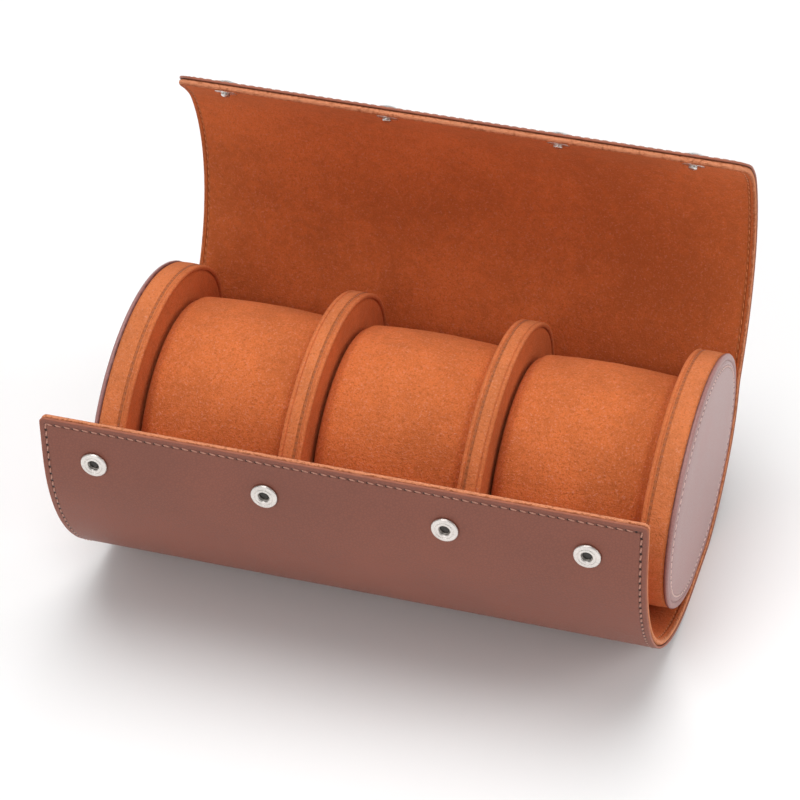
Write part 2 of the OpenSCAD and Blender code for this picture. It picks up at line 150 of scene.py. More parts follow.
class NodeSheet:
    """Small helper that adds nodes to a tree and joins them."""

    def __init__(self, tree: bpy.types.NodeTree) -> None:
        """Keep the tree that is being built."""
        self.tree = tree

    def add(self, kind: str, **values: object) -> bpy.types.Node:
        """Add a node and set its properties.

        Args:
            kind: Type name of the node.
            values: Properties of the node.

        Returns:
            The new node.
        """
        node = self.tree.nodes.new(kind)
        for name, value in values.items():
            setattr(node, name, value)
        return node

    def join(self, source: object, target: bpy.types.NodeSocket) -> None:
        """Join an output to an input, or set the input where the source is a plain value.

        Args:
            source: Output socket, number or colour.
            target: Input socket.
        """
        if isinstance(source, bpy.types.NodeSocket):
            self.tree.links.new(source, target)
        elif isinstance(source, tuple) and len(source) == 3 and target.type == "RGBA":
            target.default_value = (*source, 1.0)
        else:
            target.default_value = source

    def group(self, name: str, **values: object) -> bpy.types.Node:
        """Place one of the shared groups.

        Args:
            name: Name of the group.
            values: Inputs by name, with spaces written as underscores.

        Returns:
            The group node.
        """
        node = self.add("ShaderNodeGroup", node_tree=GROUPS[name])
        for label, value in values.items():
            self.join(value, node.inputs[label.replace("_", " ")])
        return node

    def math(self, operation: str, *inputs: object) -> bpy.types.NodeSocket:
        """Add a math node.

        Args:
            operation: Name of the operation.
            inputs: Its inputs.

        Returns:
            The output socket.
        """
        node = self.add("ShaderNodeMath", operation=operation)
        for k, value in enumerate(inputs):
            self.join(value, node.inputs[k])
        return node.outputs[0]

    def weigh(self, a: object, share_a: float, b: object, share_b: float) -> bpy.types.NodeSocket:
        """Sum of two values, each times its share."""
        return self.math("ADD", self.math("MULTIPLY", a, share_a), self.math("MULTIPLY", b, share_b))

    def less(self, value: object, other: object, share: float) -> bpy.types.NodeSocket:
        """Value less a share of another."""
        return self.math("SUBTRACT", value, self.math("MULTIPLY", other, share))

    def blend(self, factor: object, a: object, b: object, strength: float = 1.0) -> bpy.types.NodeSocket:
        """Mix two colours.

        Args:
            factor: Share of the second colour.
            a: First colour.
            b: Second colour.
            strength: What the factor is multiplied by.

        Returns:
            The colour output.
        """
        if strength != 1.0:
            factor = self.math("MULTIPLY", factor, strength)
        node = self.add("ShaderNodeMix", data_type="RGBA")
        self.join(factor, node.inputs[0])
        self.join(a, node.inputs[6])
        self.join(b, node.inputs[7])
        return node.outputs[2]

    def noise(self, vector: object, scale: object, detail: float = 3.0, rough: float = 0.55,
              distort: float = 0.0) -> bpy.types.NodeSocket:
        """Add a noise texture.

        Args:
            vector: Coordinates.
            scale: Cells per metre, a number or a socket.
            detail: Octaves.
            rough: Share of each octave.
            distort: Distortion.

        Returns:
            The noise value.
        """
        node = self.add("ShaderNodeTexNoise", noise_dimensions="3D")
        for name, value in (("Vector", vector), ("Scale", scale), ("Detail", detail), ("Roughness", rough),
                            ("Distortion", distort)):
            self.join(value, node.inputs[name])
        return node.outputs[0]

    def ramp(self, value: object, low: float, high: float, out_low: float = 0.0,
             out_high: float = 1.0) -> bpy.types.NodeSocket:
        """Map a value smoothly from one range to another.

        Args:
            value: Input value.
            low: Start of the input range.
            high: End of the input range.
            out_low: Result at the start.
            out_high: Result at the end.

        Returns:
            The mapped value.
        """
        node = self.add("ShaderNodeMapRange", interpolation_type="SMOOTHSTEP")
        for name, item in (("Value", value), ("From Min", low), ("From Max", high), ("To Min", out_low),
                           ("To Max", out_high)):
            self.join(item, node.inputs[name])
        return node.outputs[0]


class Coat(NodeSheet):
    """Node tree of one material, with its Principled shader."""

    def __init__(self, name: str, colour: Colour) -> None:
        """Start the material.

        Args:
            name: Name of the material.
            colour: Plain colour for the viewport.
        """
        self.material = bpy.data.materials.new(name)
        self.material.use_nodes = True
        self.material.diffuse_color = (*colour, 1.0)
        super().__init__(self.material.node_tree)
        self.shader = self.tree.nodes["Principled BSDF"]

    @cached_property
    def place(self) -> bpy.types.NodeSocket:
        """Object coordinates, from one node for the whole material."""
        return self.add("ShaderNodeTexCoord").outputs["Object"]

    def bump(self, height: bpy.types.NodeSocket, distance: float) -> None:
        """Join a height to the shader's normal.

        Args:
            height: Height from 0 to 1.
            distance: Height of 1 in metres.
        """
        node = self.add("ShaderNodeBump")
        node.inputs["Strength"].default_value = 1.0
        node.inputs["Distance"].default_value = distance
        self.join(height, node.inputs["Height"])
        self.join(node.outputs[0], self.shader.inputs["Normal"])

    def attribute(self, name: str) -> bpy.types.NodeSocket:
        """Read a number stored on the mesh."""
        return self.add("ShaderNodeAttribute", attribute_type="GEOMETRY", attribute_name=name).outputs["Fac"]

    def settle(self, **values: object) -> None:
        """Join or set the shader's own sockets, named with underscores for spaces."""
        for label, value in values.items():
            self.join(value, self.shader.inputs[label.replace("_", " ")])


def new_group(name: str, inputs: dict[str, tuple[str, object]], outputs: tuple[str, ...]) -> tuple[
        NodeSheet, bpy.types.NodeOutputs, bpy.types.NodeInputs]:
    """Make an empty shader node group with named sockets, and list it among the shared groups.

    Args:
        name: Name of the group.
        inputs: Socket type and default value of each input.
        outputs: Names of the outputs, which are numbers.

    Returns:
        The group's helper, the sockets of its inputs and the sockets of its outputs.
    """
    tree = bpy.data.node_groups.new(name, "ShaderNodeTree")
    for label, (kind, default) in inputs.items():
        socket = tree.interface.new_socket(name=label, in_out="INPUT", socket_type=kind)
        if default is not None:
            socket.default_value = default
    for label in outputs:
        tree.interface.new_socket(name=label, in_out="OUTPUT", socket_type=FLOAT)
    GROUPS[name] = tree
    sheet = NodeSheet(tree)
    return sheet, sheet.add("NodeGroupInput").outputs, sheet.add("NodeGroupOutput").inputs


def grain_group() -> None:
    """Make the group of leather grain: rounded pebbles split by fine creases, over broad cloudy tones.

    The pebbles are the cells of a Voronoi pattern, whose coordinates a low noise moves a little.
    """
    s, given, out = new_group(
        "leather_grain", {"Vector": (VECTOR, None), "Pebble": (FLOAT, 900.0), "Cloud": (FLOAT, 28.0)},
        ("Tone", "Height"))
    shift = s.math("MULTIPLY", s.noise(given["Vector"], 300.0, 2.0), 0.0006)
    offset = s.add("ShaderNodeCombineXYZ")
    for socket in offset.inputs:
        s.join(shift, socket)
    moved = s.add("ShaderNodeVectorMath", operation="ADD")
    s.join(given["Vector"], moved.inputs[0])
    s.join(offset.outputs[0], moved.inputs[1])
    cells = s.add("ShaderNodeTexVoronoi", feature="DISTANCE_TO_EDGE")
    s.join(moved.outputs[0], cells.inputs["Vector"])
    s.join(given["Pebble"], cells.inputs["Scale"])
    pebble = s.ramp(cells.outputs["Distance"], 0.0, 0.22)
    fine = s.noise(given["Vector"], 2600.0, 2.0)
    cloud = s.noise(given["Vector"], given["Cloud"], 4.0)
    s.join(s.weigh(pebble, 0.7, fine, 0.3), out["Height"])
    s.join(s.weigh(cloud, 0.75, pebble, 0.25), out["Tone"])


def nap_group() -> None:
    """Make the group of suede nap: fine fibres and specks, over broad brushed patches."""
    s, given, out = new_group(
        "suede_nap", {"Vector": (VECTOR, None), "Patch Scale": (FLOAT, 38.0), "Fibre Scale": (FLOAT, 2000.0)},
        ("Patch", "Fibre", "Height"))
    patch = s.noise(given["Vector"], given["Patch Scale"], 3.0, 0.5, 0.2)
    brushed = s.noise(given["Vector"], 260.0, 3.0, 0.6, 0.6)
    fibre = s.noise(given["Vector"], given["Fibre Scale"], 2.0, 0.7)
    speck = s.noise(given["Vector"], 950.0, 3.0, 0.75)
    s.join(s.weigh(patch, 0.62, brushed, 0.38), out["Patch"])
    s.join(s.weigh(fibre, 0.5, speck, 0.5), out["Fibre"])
    s.join(s.weigh(speck, 0.65, fibre, 0.35), out["Height"])


def seam_group() -> None:
    """Make the group of a sewn line at a set distance from an edge: a soft groove, and a hole every pitch."""
    s, given, out = new_group(
        "sewn_line",
        {"Distance": (FLOAT, 0.0), "Along": (FLOAT, 0.0), "Inset": (FLOAT, 3.0), "Pitch": (FLOAT, 3.0),
         "Width": (FLOAT, 0.7)},
        ("Groove", "Hole"))
    away = s.math("ABSOLUTE", s.math("SUBTRACT", given["Distance"], given["Inset"]))
    groove = s.ramp(s.math("DIVIDE", away, given["Width"]), 0.0, 1.0)
    s.join(s.math("SUBTRACT", 1.0, groove), out["Groove"])
    turn = s.math("FRACT", s.math("DIVIDE", given["Along"], given["Pitch"]))
    off = s.math("MULTIPLY", s.math("ABSOLUTE", s.math("SUBTRACT", turn, 0.5)), given["Pitch"])
    near = s.math("SQRT", s.math("ADD", s.math("POWER", away, 2.0), s.math("POWER", off, 2.0)))
    s.join(s.math("SUBTRACT", 1.0, s.ramp(near, 0.25, 0.55)), out["Hole"])


# Finishes.


@dataclass(frozen=True)
class Finish:
    """Common base of a finish: name and main colour."""

    name: str
    colour: Colour

    def start(self) -> Coat:
        """Start a material of this name."""
        return Coat(self.name, self.colour)

    def shade(self, share: float) -> Colour:
        """Main colour times a share, at most 1 in each channel."""
        return tuple(min(1.0, c * share) for c in self.colour)


@dataclass(frozen=True)
class SewnFinish(Finish):
    """Finish of a sheet that may carry a sewn line: its inset and pitch, and half the groove's width."""

    seam: Span | None = None
    groove: float = 0.7

    def sewn(self, s: Coat) -> bpy.types.NodeOutputs:
        """Place the sewn line and give its outputs."""
        inset, pitch = self.seam
        return s.group("sewn_line", Distance=s.attribute("edge_mm"), Along=s.attribute("run_mm"), Inset=inset,
                       Pitch=pitch, Width=self.groove).outputs


@dataclass(frozen=True)
class LeatherFinish(SewnFinish):
    """Smooth grained leather with a sewn line near its edge, whose groove and holes are darkened as painted
    shade, and a rim of another colour a set number of mm wide: edge wear on the wrap's leather, painted shade
    of the gap beside the band on the rolled edge.
    """

    groove: float = 0.75
    # Rim colour and its width in mm: edge wear on the wrap's leather, painted shade of the gap beside the
    # band on the rolled edge.
    edge_wear_and_shade_colour: Colour = (0.4, 0.2, 0.16)
    rim_wear_and_shade: float = 0.7
    roughness: float = 0.5
    pebble: float = 900.0

    def build(self) -> bpy.types.Material:
        """Build the material.

        Returns:
            The new material.
        """
        s = self.start()
        grain = s.group("leather_grain", Vector=s.place, Pebble=self.pebble)
        tone = s.ramp(grain.outputs["Tone"], 0.25, 0.8)
        colour = s.blend(tone, self.shade(0.87), self.shade(1.10))
        # Rim mask, broken up by noise: real edge wear on the wrap's leather, painted shade on the rolled
        # edge.
        rim_wear_and_shade = s.math("SUBTRACT", 1.0, s.ramp(s.attribute("edge_mm"), 0.1, self.rim_wear_and_shade))
        rim_breakup = s.ramp(s.noise(s.place, 420.0, 4.0), 0.35, 0.7)
        rim = s.math("MULTIPLY", rim_wear_and_shade, s.math("ADD", 0.55, s.math("MULTIPLY", rim_breakup, 0.4)))
        colour = s.blend(rim, colour, self.edge_wear_and_shade_colour)
        height = s.math("MULTIPLY", grain.outputs["Height"], 0.12)
        if self.seam:
            seam = self.sewn(s)
            # Painted shade: the sewn groove is darkened towards 0.42 of the colour, each stitch hole to 0.12.
            colour = s.blend(seam["Groove"], colour, self.shade(0.42), 0.5)
            colour = s.blend(seam["Hole"], colour, self.shade(0.12))
            height = s.less(s.less(height, seam["Groove"], 0.75), seam["Hole"], 0.9)
        rough = s.math("ADD", self.roughness - 0.08, s.math("MULTIPLY", tone, 0.16))
        s.settle(Base_Color=colour, Roughness=rough, Specular_IOR_Level=0.32)
        s.bump(height, 0.00035)
        return s.material


@dataclass(frozen=True)
class SuedeFinish(SewnFinish):
    """Brushed suede: soft nap with pale fibre tips as painted highlight specks, patches brushed light and
    dark, and a faint sheen.
    """

    patch: float = 38.0
    contrast: float = 1.0
    nap: float = 1.0
    seam_shade: float = 0.4
    cut_edge: Colour | None = None

    def build(self) -> bpy.types.Material:
        """Build the material.

        Returns:
            The new material.
        """
        s = self.start()
        nap = s.group("suede_nap", Vector=s.place, Patch_Scale=self.patch).outputs
        dark, light = self.shade(1 - 0.14 * self.contrast), self.shade(1 + 0.12 * self.contrast)
        colour = s.blend(s.ramp(nap["Patch"], 0.34, 0.66), dark, light)
        # Painted highlight: the pale fibre tips mix the colour a little towards white, a painted sheen on the
        # nap.
        tips = tuple(v + (1 - v) * 0.09 * self.nap for v in self.colour)
        colour = s.blend(s.ramp(nap["Fibre"], 0.50, 0.36, 0.0, 0.75), colour, self.shade(1 - 0.25 * self.nap))
        colour = s.blend(s.ramp(nap["Fibre"], 0.52, 0.66, 0.0, 0.75), colour, tips)
        height = nap["Height"]
        if self.seam:
            seam = self.sewn(s)
            colour = s.blend(seam["Groove"], colour, self.shade(0.45), self.seam_shade)
            colour = s.blend(seam["Hole"], colour, self.shade(0.2), self.seam_shade)
            height = s.less(height, seam["Groove"], 0.9)
        if self.cut_edge:
            ragged = s.math("MULTIPLY", s.noise(s.place, 900.0, 4.0, 0.7), 3.0)
            fringe = s.ramp(s.math("ADD", s.attribute("edge_mm"), ragged), 2.8, 1.4)
            colour = s.blend(fringe, colour, self.cut_edge, 0.9)
            height = s.math("ADD", height, s.math("MULTIPLY", fringe, ragged))
        s.settle(Base_Color=colour, Roughness=s.ramp(nap["Patch"], 0.3, 0.7, 0.82, 0.95),
                 Specular_IOR_Level=0.05, Sheen_Weight=0.22, Sheen_Roughness=0.4, Sheen_Tint=(1.0, 0.5, 0.26))
        s.bump(height, 0.0007)
        return s.material


@dataclass(frozen=True)
class ThreadFinish(Finish):
    """Twisted sewing thread."""

    def build(self) -> bpy.types.Material:
        """Build the material.

        Returns:
            The new material.
        """
        s = self.start()
        twist = s.noise(s.place, 2600.0, 2.0)
        s.settle(Base_Color=s.blend(s.ramp(twist, 0.3, 0.7), self.shade(0.7), self.shade(1.2)),
                 Roughness=0.6, Sheen_Weight=0.2)
        s.bump(twist, 0.0001)
        return s.material


@dataclass(frozen=True)
class MetalFinish(Finish):
    """Plated metal with a soft satin and tiny handling marks, with painted shade, near black, within the
    bore's radius in mm.
    """

    roughness: float = 0.24
    bore: float = 0.0

    def build(self) -> bpy.types.Material:
        """Build the material.

        Returns:
            The new material.
        """
        s = self.start()
        marks = s.noise(s.place, 900.0, 3.0)
        colour = s.blend(s.ramp(s.noise(s.place, 160.0, 2.0), 0.3, 0.7), self.shade(0.86), self.colour)
        # Painted shade: within the bore's radius the colour falls to 0.08 of the metal's, the dark inside the
        # socket's hole.
        if self.bore:
            inside = s.ramp(s.attribute("edge_mm"), self.bore + 0.1, self.bore - 0.1)
            colour = s.blend(inside, colour, self.shade(0.08))
        rough = s.ramp(marks, 0.3, 0.75, self.roughness - 0.06, self.roughness + 0.12)
        s.settle(Base_Color=colour, Roughness=rough, Metallic=1.0)
        s.bump(marks, 0.00002)
        return s.material


@dataclass(frozen=True)
class HiddenFinish(Finish):
    """Pressed board or foam inside the case: speckled fibres, scale of them to the metre."""

    scale: float = 600.0

    def build(self) -> bpy.types.Material:
        """Build the material.

        Returns:
            The new material.
        """
        s = self.start()
        speck = s.noise(s.place, self.scale, 4.0, 0.7)
        s.settle(Base_Color=s.blend(s.ramp(speck, 0.3, 0.7), self.shade(0.75), self.colour), Roughness=0.85)
        s.bump(speck, 0.0003)
        return s.material


# Mesh helpers.


@dataclass
class Shell:
    """Mesh under construction: points in millimetres, faces, and numbers stored on its points."""

    points: np.ndarray
    quads: np.ndarray
    extra: list[list[int]] = field(default_factory=list)
    edge: np.ndarray | None = None
    run: np.ndarray | None = None

    def to_object(self, name: str, material: bpy.types.Material, slot: str, body: str | None = None,
                  nodes: tuple[str, ...] = (), sharp: float = 40.0, merge: bool = True) -> bpy.types.Object:
        """Make the Blender object.

        Args:
            name: Name of the piece.
            material: Its material.
            slot: Material slot of the record; not used.
            body: Body that carries it, where it is one.
            nodes: CAD nodes that it stands for.
            sharp: Angle in degrees past which an edge is shaded sharp.
            merge: Whether coincident points are merged.

        Returns:
            The new object, linked to the scene.
        """
        mesh = bpy.data.meshes.new(name)
        mesh.from_pydata((self.points * MM).tolist(), [], self.quads.tolist() + self.extra)
        for label, values in (("edge_mm", self.edge), ("run_mm", self.run)):
            data = np.full(len(self.points), NO_EDGE) if values is None else values.ravel()
            mesh.attributes.new(label, "FLOAT", "POINT").data.foreach_set(
                "value", data.astype(np.float32))
        work = bmesh.new()
        work.from_mesh(mesh)
        if merge:
            bmesh.ops.remove_doubles(work, verts=work.verts, dist=MERGE)
            bmesh.ops.dissolve_degenerate(work, edges=work.edges, dist=DISSOLVE)
        bmesh.ops.recalc_face_normals(work, faces=work.faces)
        work.to_mesh(mesh)
        work.free()
        mesh.polygons.foreach_set("use_smooth", np.ones(len(mesh.polygons), bool))
        mesh.set_sharp_from_angle(angle=math.radians(sharp))
        mesh.materials.append(material)
        mesh.update()
        piece = bpy.data.objects.new(name, mesh)
        bpy.context.scene.collection.objects.link(piece)
        if body:
            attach(piece, body)
        if nodes:
            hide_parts(*nodes)
        return piece


def circle(count: int) -> np.ndarray:
    """Angles of a number of even steps round a full turn."""
    return np.linspace(0, 2 * math.pi, count, endpoint=False)


def grid_quads(rows: int, columns: int, closed: bool) -> np.ndarray:
    """Quads of a grid of points in rows.

    Args:
        rows: Number of rows.
        columns: Points in a row.
        closed: Whether each row is a closed loop.

    Returns:
        Array of four point numbers per face.
    """
    j = np.arange(rows - 1)[:, None] * columns
    k = np.arange(columns if closed else columns - 1)[None, :]
    k2 = (k + 1) % columns
    return np.stack([j + k, j + k2, j + columns + k2, j + columns + k], -1).reshape(-1, 4)


def smooth_wave(x: np.ndarray, seed: int, count: int = 5, longest: float = 120.0) -> np.ndarray:
    """Sum of a few sines with seeded phases, each shorter and lower than the last.

    Args:
        x: Positions in millimetres.
        seed: Seed of the phases.
        count: Number of sines.
        longest: Longest wavelength in millimetres.

    Returns:
        Values of about -1 to 1.
    """
    phases = np.random.default_rng(seed).uniform(0, 2 * math.pi, count)
    total = sum(np.sin(2 * math.pi * x / (longest / 1.7 ** k) + phases[k]) / 1.5 ** k for k in range(count))
    return total / 2.0


RINGS = 5
SIDES = 6


def stitch_form(size: Stitch, pitch: float, slant: float = 0.16) -> tuple[np.ndarray, np.ndarray, np.ndarray]:
    """One stitch: a flat capsule of five rings of six points, laid a little across the line of sewing.

    Each ring is an ellipse whose girth goes from 0.25 at the tips to 1 in the middle.

    Args:
        size: Sizes of the stitch.
        pitch: Distance between stitches.
        slant: Sideways shift for each millimetre of length.

    Returns:
        Offsets along the line, across it and up from the sheet, each of five by six.
    """
    rings = np.array([-1.0, -0.75, 0.0, 0.75, 1.0])[:, None]
    girth = np.array([0.25, 0.8, 1.0, 0.8, 0.25])[:, None]
    around = circle(SIDES)[None, :]
    along = np.repeat(rings * (pitch * size.long), SIDES, 1)
    return along, girth * np.cos(around) * size.wide + slant * along, girth * np.sin(around) * size.tall


def stitch_faces(count: int) -> tuple[np.ndarray, list[list[int]]]:
    """Faces of a number of stitches.

    Args:
        count: Number of stitches.

    Returns:
        Quads of the sides, and six-sided tips.
    """
    whole = RINGS * SIDES
    base = np.arange(count)[:, None] * whole
    quads = (grid_quads(RINGS, SIDES, True)[None] + base[:, None]).reshape(-1, 4)
    tips = np.concatenate([base + np.arange(SIDES)[::-1], base + np.arange(whole - SIDES, whole)])
    return quads, tips.tolist()


def unit(a: np.ndarray) -> np.ndarray:
    """Unit vectors (cos a, sin a) of an array of angles."""
    return np.stack([np.cos(a), np.sin(a)], -1)


def walked(line: np.ndarray) -> np.ndarray:
    """Distance walked along a line of points (y, z) at each of its points."""
    return np.r_[0, np.cumsum(np.hypot(*np.diff(line, axis=0).T))]


def there_and_back(outer: np.ndarray, inner: np.ndarray) -> np.ndarray:
    """Rows that cross the outer face and come back over the inner one, which shares their ends."""
    return np.concatenate([outer, inner[:, -2:0:-1]], 1)


def rows_of(*columns: np.ndarray | float) -> np.ndarray:
    """Stack numbers and arrays of one length as the columns of a table."""
    return np.stack(np.broadcast_arrays(*columns), -1)


# Shape of the case.


@dataclass(frozen=True)
class Oval:
    """Oval of four tangent arcs: two tight ends and two flat arcs."""

    # Past this inset a point moves no further in, and the oval shrinks towards its middle instead.
    DEEP = 12.0
    width: float
    height: float
    end_r: float

    def centres(self) -> tuple[float, float]:
        """Find the centres of the arcs.

        Returns:
            Distances from the middle to the centres of the tight ends, in Y, and of the flat arcs, in Z.
        """
        end_off = self.width / 2 - self.end_r
        rise = self.height / 2 - self.end_r
        return end_off, (end_off ** 2 - rise ** 2) / (2 * rise)

    def at(self, a: np.ndarray, inset: np.ndarray | float) -> np.ndarray:
        """Point whose outward normal has the angle a, moved inwards by inset.

        Where the normal leans less than the join of two arcs it belongs to a tight end arc, else to a
        flat arc. Past the inset DEEP the point moves no further, and shrink gives what is left.

        Args:
            a: Angles in radians.
            inset: Distances inwards in millimetres.

        Returns:
            Array of points (y, z) about the middle.
        """
        end_off, flat_off = self.centres()
        join = math.atan2(flat_off, end_off)
        a, inset = np.broadcast_arrays(np.asarray(a, float), np.asarray(inset, float))
        tight = np.abs(np.sin(a)) <= math.sin(join)
        radius = np.where(tight, self.end_r, self.height / 2 + flat_off) - np.minimum(inset, self.DEEP)
        y = np.where(tight, np.sign(np.cos(a)) * end_off, 0.0) + radius * np.cos(a)
        z = np.where(tight, 0.0, -np.sign(np.sin(a)) * flat_off) + radius * np.sin(a)
        return np.stack([y, z], -1)

    def shrink(self, inset: np.ndarray) -> np.ndarray:
        """Share of the oval that is left past the inset DEEP, from 1 down to 0 at the middle."""
        return 1 - np.clip((inset - self.DEEP) / (self.height / 2 - self.DEEP), 0, 1)


@dataclass(frozen=True)
class CaseShape:
    """Sizes of the whole case, as in the part's source."""

    case_len: float = 205.0
    disc: Oval = Oval(106.0, 80.0, 30.0)
    seat_cut: float = 1.1
    wrap_t: float = 3.2
    mid_depth: float = 2.5
    rim_gap: float = 0.5
    flap_r: float = 78.0
    flap_rise: float = 15.5
    lid_len: float = 114.5
    lid_r: float = 76.0
    lid_lean: float = 38.0
    lid_fold: float = 88.5
    lid_bend: float = 9.4
    flap_corner_r: float = 2.2
    lid_corner_r: float = 14.0
    end_in: float = 90.5
    end_out: float = 101.9
    divider_x: float = 31.5
    divider_t: float = 8.0
    bead_d: float = 1.6

    @property
    def disc_z(self) -> float:
        """Height of the middle of the discs."""
        return self.wrap_t + self.disc.height / 2 - self.seat_cut

    @property
    def flap_y(self) -> float:
        """Place of the middle of the flap's curve, over the edge of the flat cut into the discs."""
        flat_r = self.disc.height / 2 + self.disc.centres()[1]
        return -math.sqrt(flat_r ** 2 - (flat_r - self.seat_cut) ** 2)

    @property
    def lid_mid_r(self) -> float:
        """Radius of the lid at the depth of the folds."""
        return self.lid_r + self.mid_depth - self.wrap_t / 2

    def lid_point(self, s: np.ndarray) -> np.ndarray:
        """Point of the lid at the depth of the folds.

        Args:
            s: Distances from the root along the curve of radius lid_r.

        Returns:
            Array of points (y, z), the front strip bent in about its fold.
        """
        lean, bend = math.radians(self.lid_lean), math.radians(self.lid_bend)
        root = np.array([self.disc.width / 2 + self.rim_gap + self.mid_depth, self.disc_z])
        centre = root - self.lid_mid_r * unit(-lean)
        p = centre + self.lid_mid_r * unit(s / self.lid_r - lean)
        pivot = centre + self.lid_mid_r * unit(self.lid_fold / self.lid_r - lean)
        turn = np.array([[math.cos(bend), -math.sin(bend)], [math.sin(bend), math.cos(bend)]])
        return np.where((s > self.lid_fold)[..., None], pivot + (p - pivot) @ turn.T, p)


class WrapPath:
    """Middle line of the wrap in Y and Z, from the top of the flap round the back to the lid's front edge."""

    # Points laid out on the straight, the quarter circle, the flat, the back and the lid.
    POINTS = (32, 240, 44, 240, 460)
    # Length of an even step, and spread of the mean that rounds the corners.
    STEP = 0.5
    SOFT = 2.2

    def __init__(self, shape: CaseShape) -> None:
        """Lay out the line and smooth its corners a little, as leather rounds a fold.

        The line is the flap's straight, its quarter circle, the flat base, the back of the disc's oval
        and the lid's arc. It is cut into equal steps and each point becomes the Gaussian mean of its
        neighbours.

        Args:
            shape: Sizes of the case.
        """
        on_straight, on_turn, on_flat, on_back, on_lid = self.POINTS
        y, low = shape.flap_y, shape.wrap_t - shape.mid_depth
        inner = shape.flap_r - shape.wrap_t + shape.mid_depth
        straight = rows_of(y - inner, shape.flap_r + np.linspace(shape.flap_rise, 0.5, on_straight))
        arc = np.array([y, shape.flap_r]) + inner * unit(np.linspace(math.pi, 1.5 * math.pi, on_turn))
        flat = rows_of(np.linspace(y + 0.5, -y - 0.5, on_flat), low)
        back = shape.disc.at(np.linspace(-math.pi / 2, 0, on_back), -(shape.rim_gap + shape.mid_depth))
        back = back + np.array([0.0, shape.disc_z])
        back = back[back[:, 1] > low + 0.02]
        lid = shape.lid_point(np.linspace(0.3, shape.lid_len, on_lid))
        raw = np.concatenate([straight, arc, flat, back, lid])
        length = walked(raw)
        self.length = float(length[-1])
        self.s = np.linspace(0, self.length, int(self.length / self.STEP))
        even = np.stack([np.interp(self.s, length, raw[:, k]) for k in range(2)], -1)
        half = int(3 * self.SOFT / self.STEP)
        weight = np.exp(-0.5 * (np.arange(-half, half + 1) * self.STEP / self.SOFT) ** 2)
        weight /= weight.sum()
        before = 2 * even[0] - even[half:0:-1]
        after = 2 * even[-1] - even[-2:-half - 2:-1]
        padded = np.concatenate([before, even, after])
        self.p = np.stack([np.convolve(padded[:, k], weight, "valid") for k in range(2)], -1)
        tangent = np.gradient(self.p, axis=0)
        tangent /= np.linalg.norm(tangent, axis=1)[:, None]
        self.n = np.stack([tangent[:, 1], -tangent[:, 0]], -1)

    def at(self, s: np.ndarray) -> tuple[np.ndarray, np.ndarray]:
        """Points and outward normals at distances along the line.

        Args:
            s: Distances in millimetres from the top of the flap.

        Returns:
            Points and unit normals that point from the lining to the leather.
        """
        p, n = (np.stack([np.interp(s, self.s, v[:, k]) for k in range(2)], -1) for v in (self.p, self.n))
        return p, n / np.linalg.norm(n, axis=-1)[..., None]

    def nearest(self, point: np.ndarray) -> float:
        """Distance along the line of its nearest point to a given one."""
        return float(self.s[np.argmin(np.hypot(*(self.p - point).T))])


@dataclass(frozen=True)
class Strip:
    """Strip of the wrap: the fold it crosses, with the bodies before and after, and its ends on the line."""

    name: str
    nodes: tuple[str, ...]
    before: str
    after: str
    fold: float
    start: float
    end: float


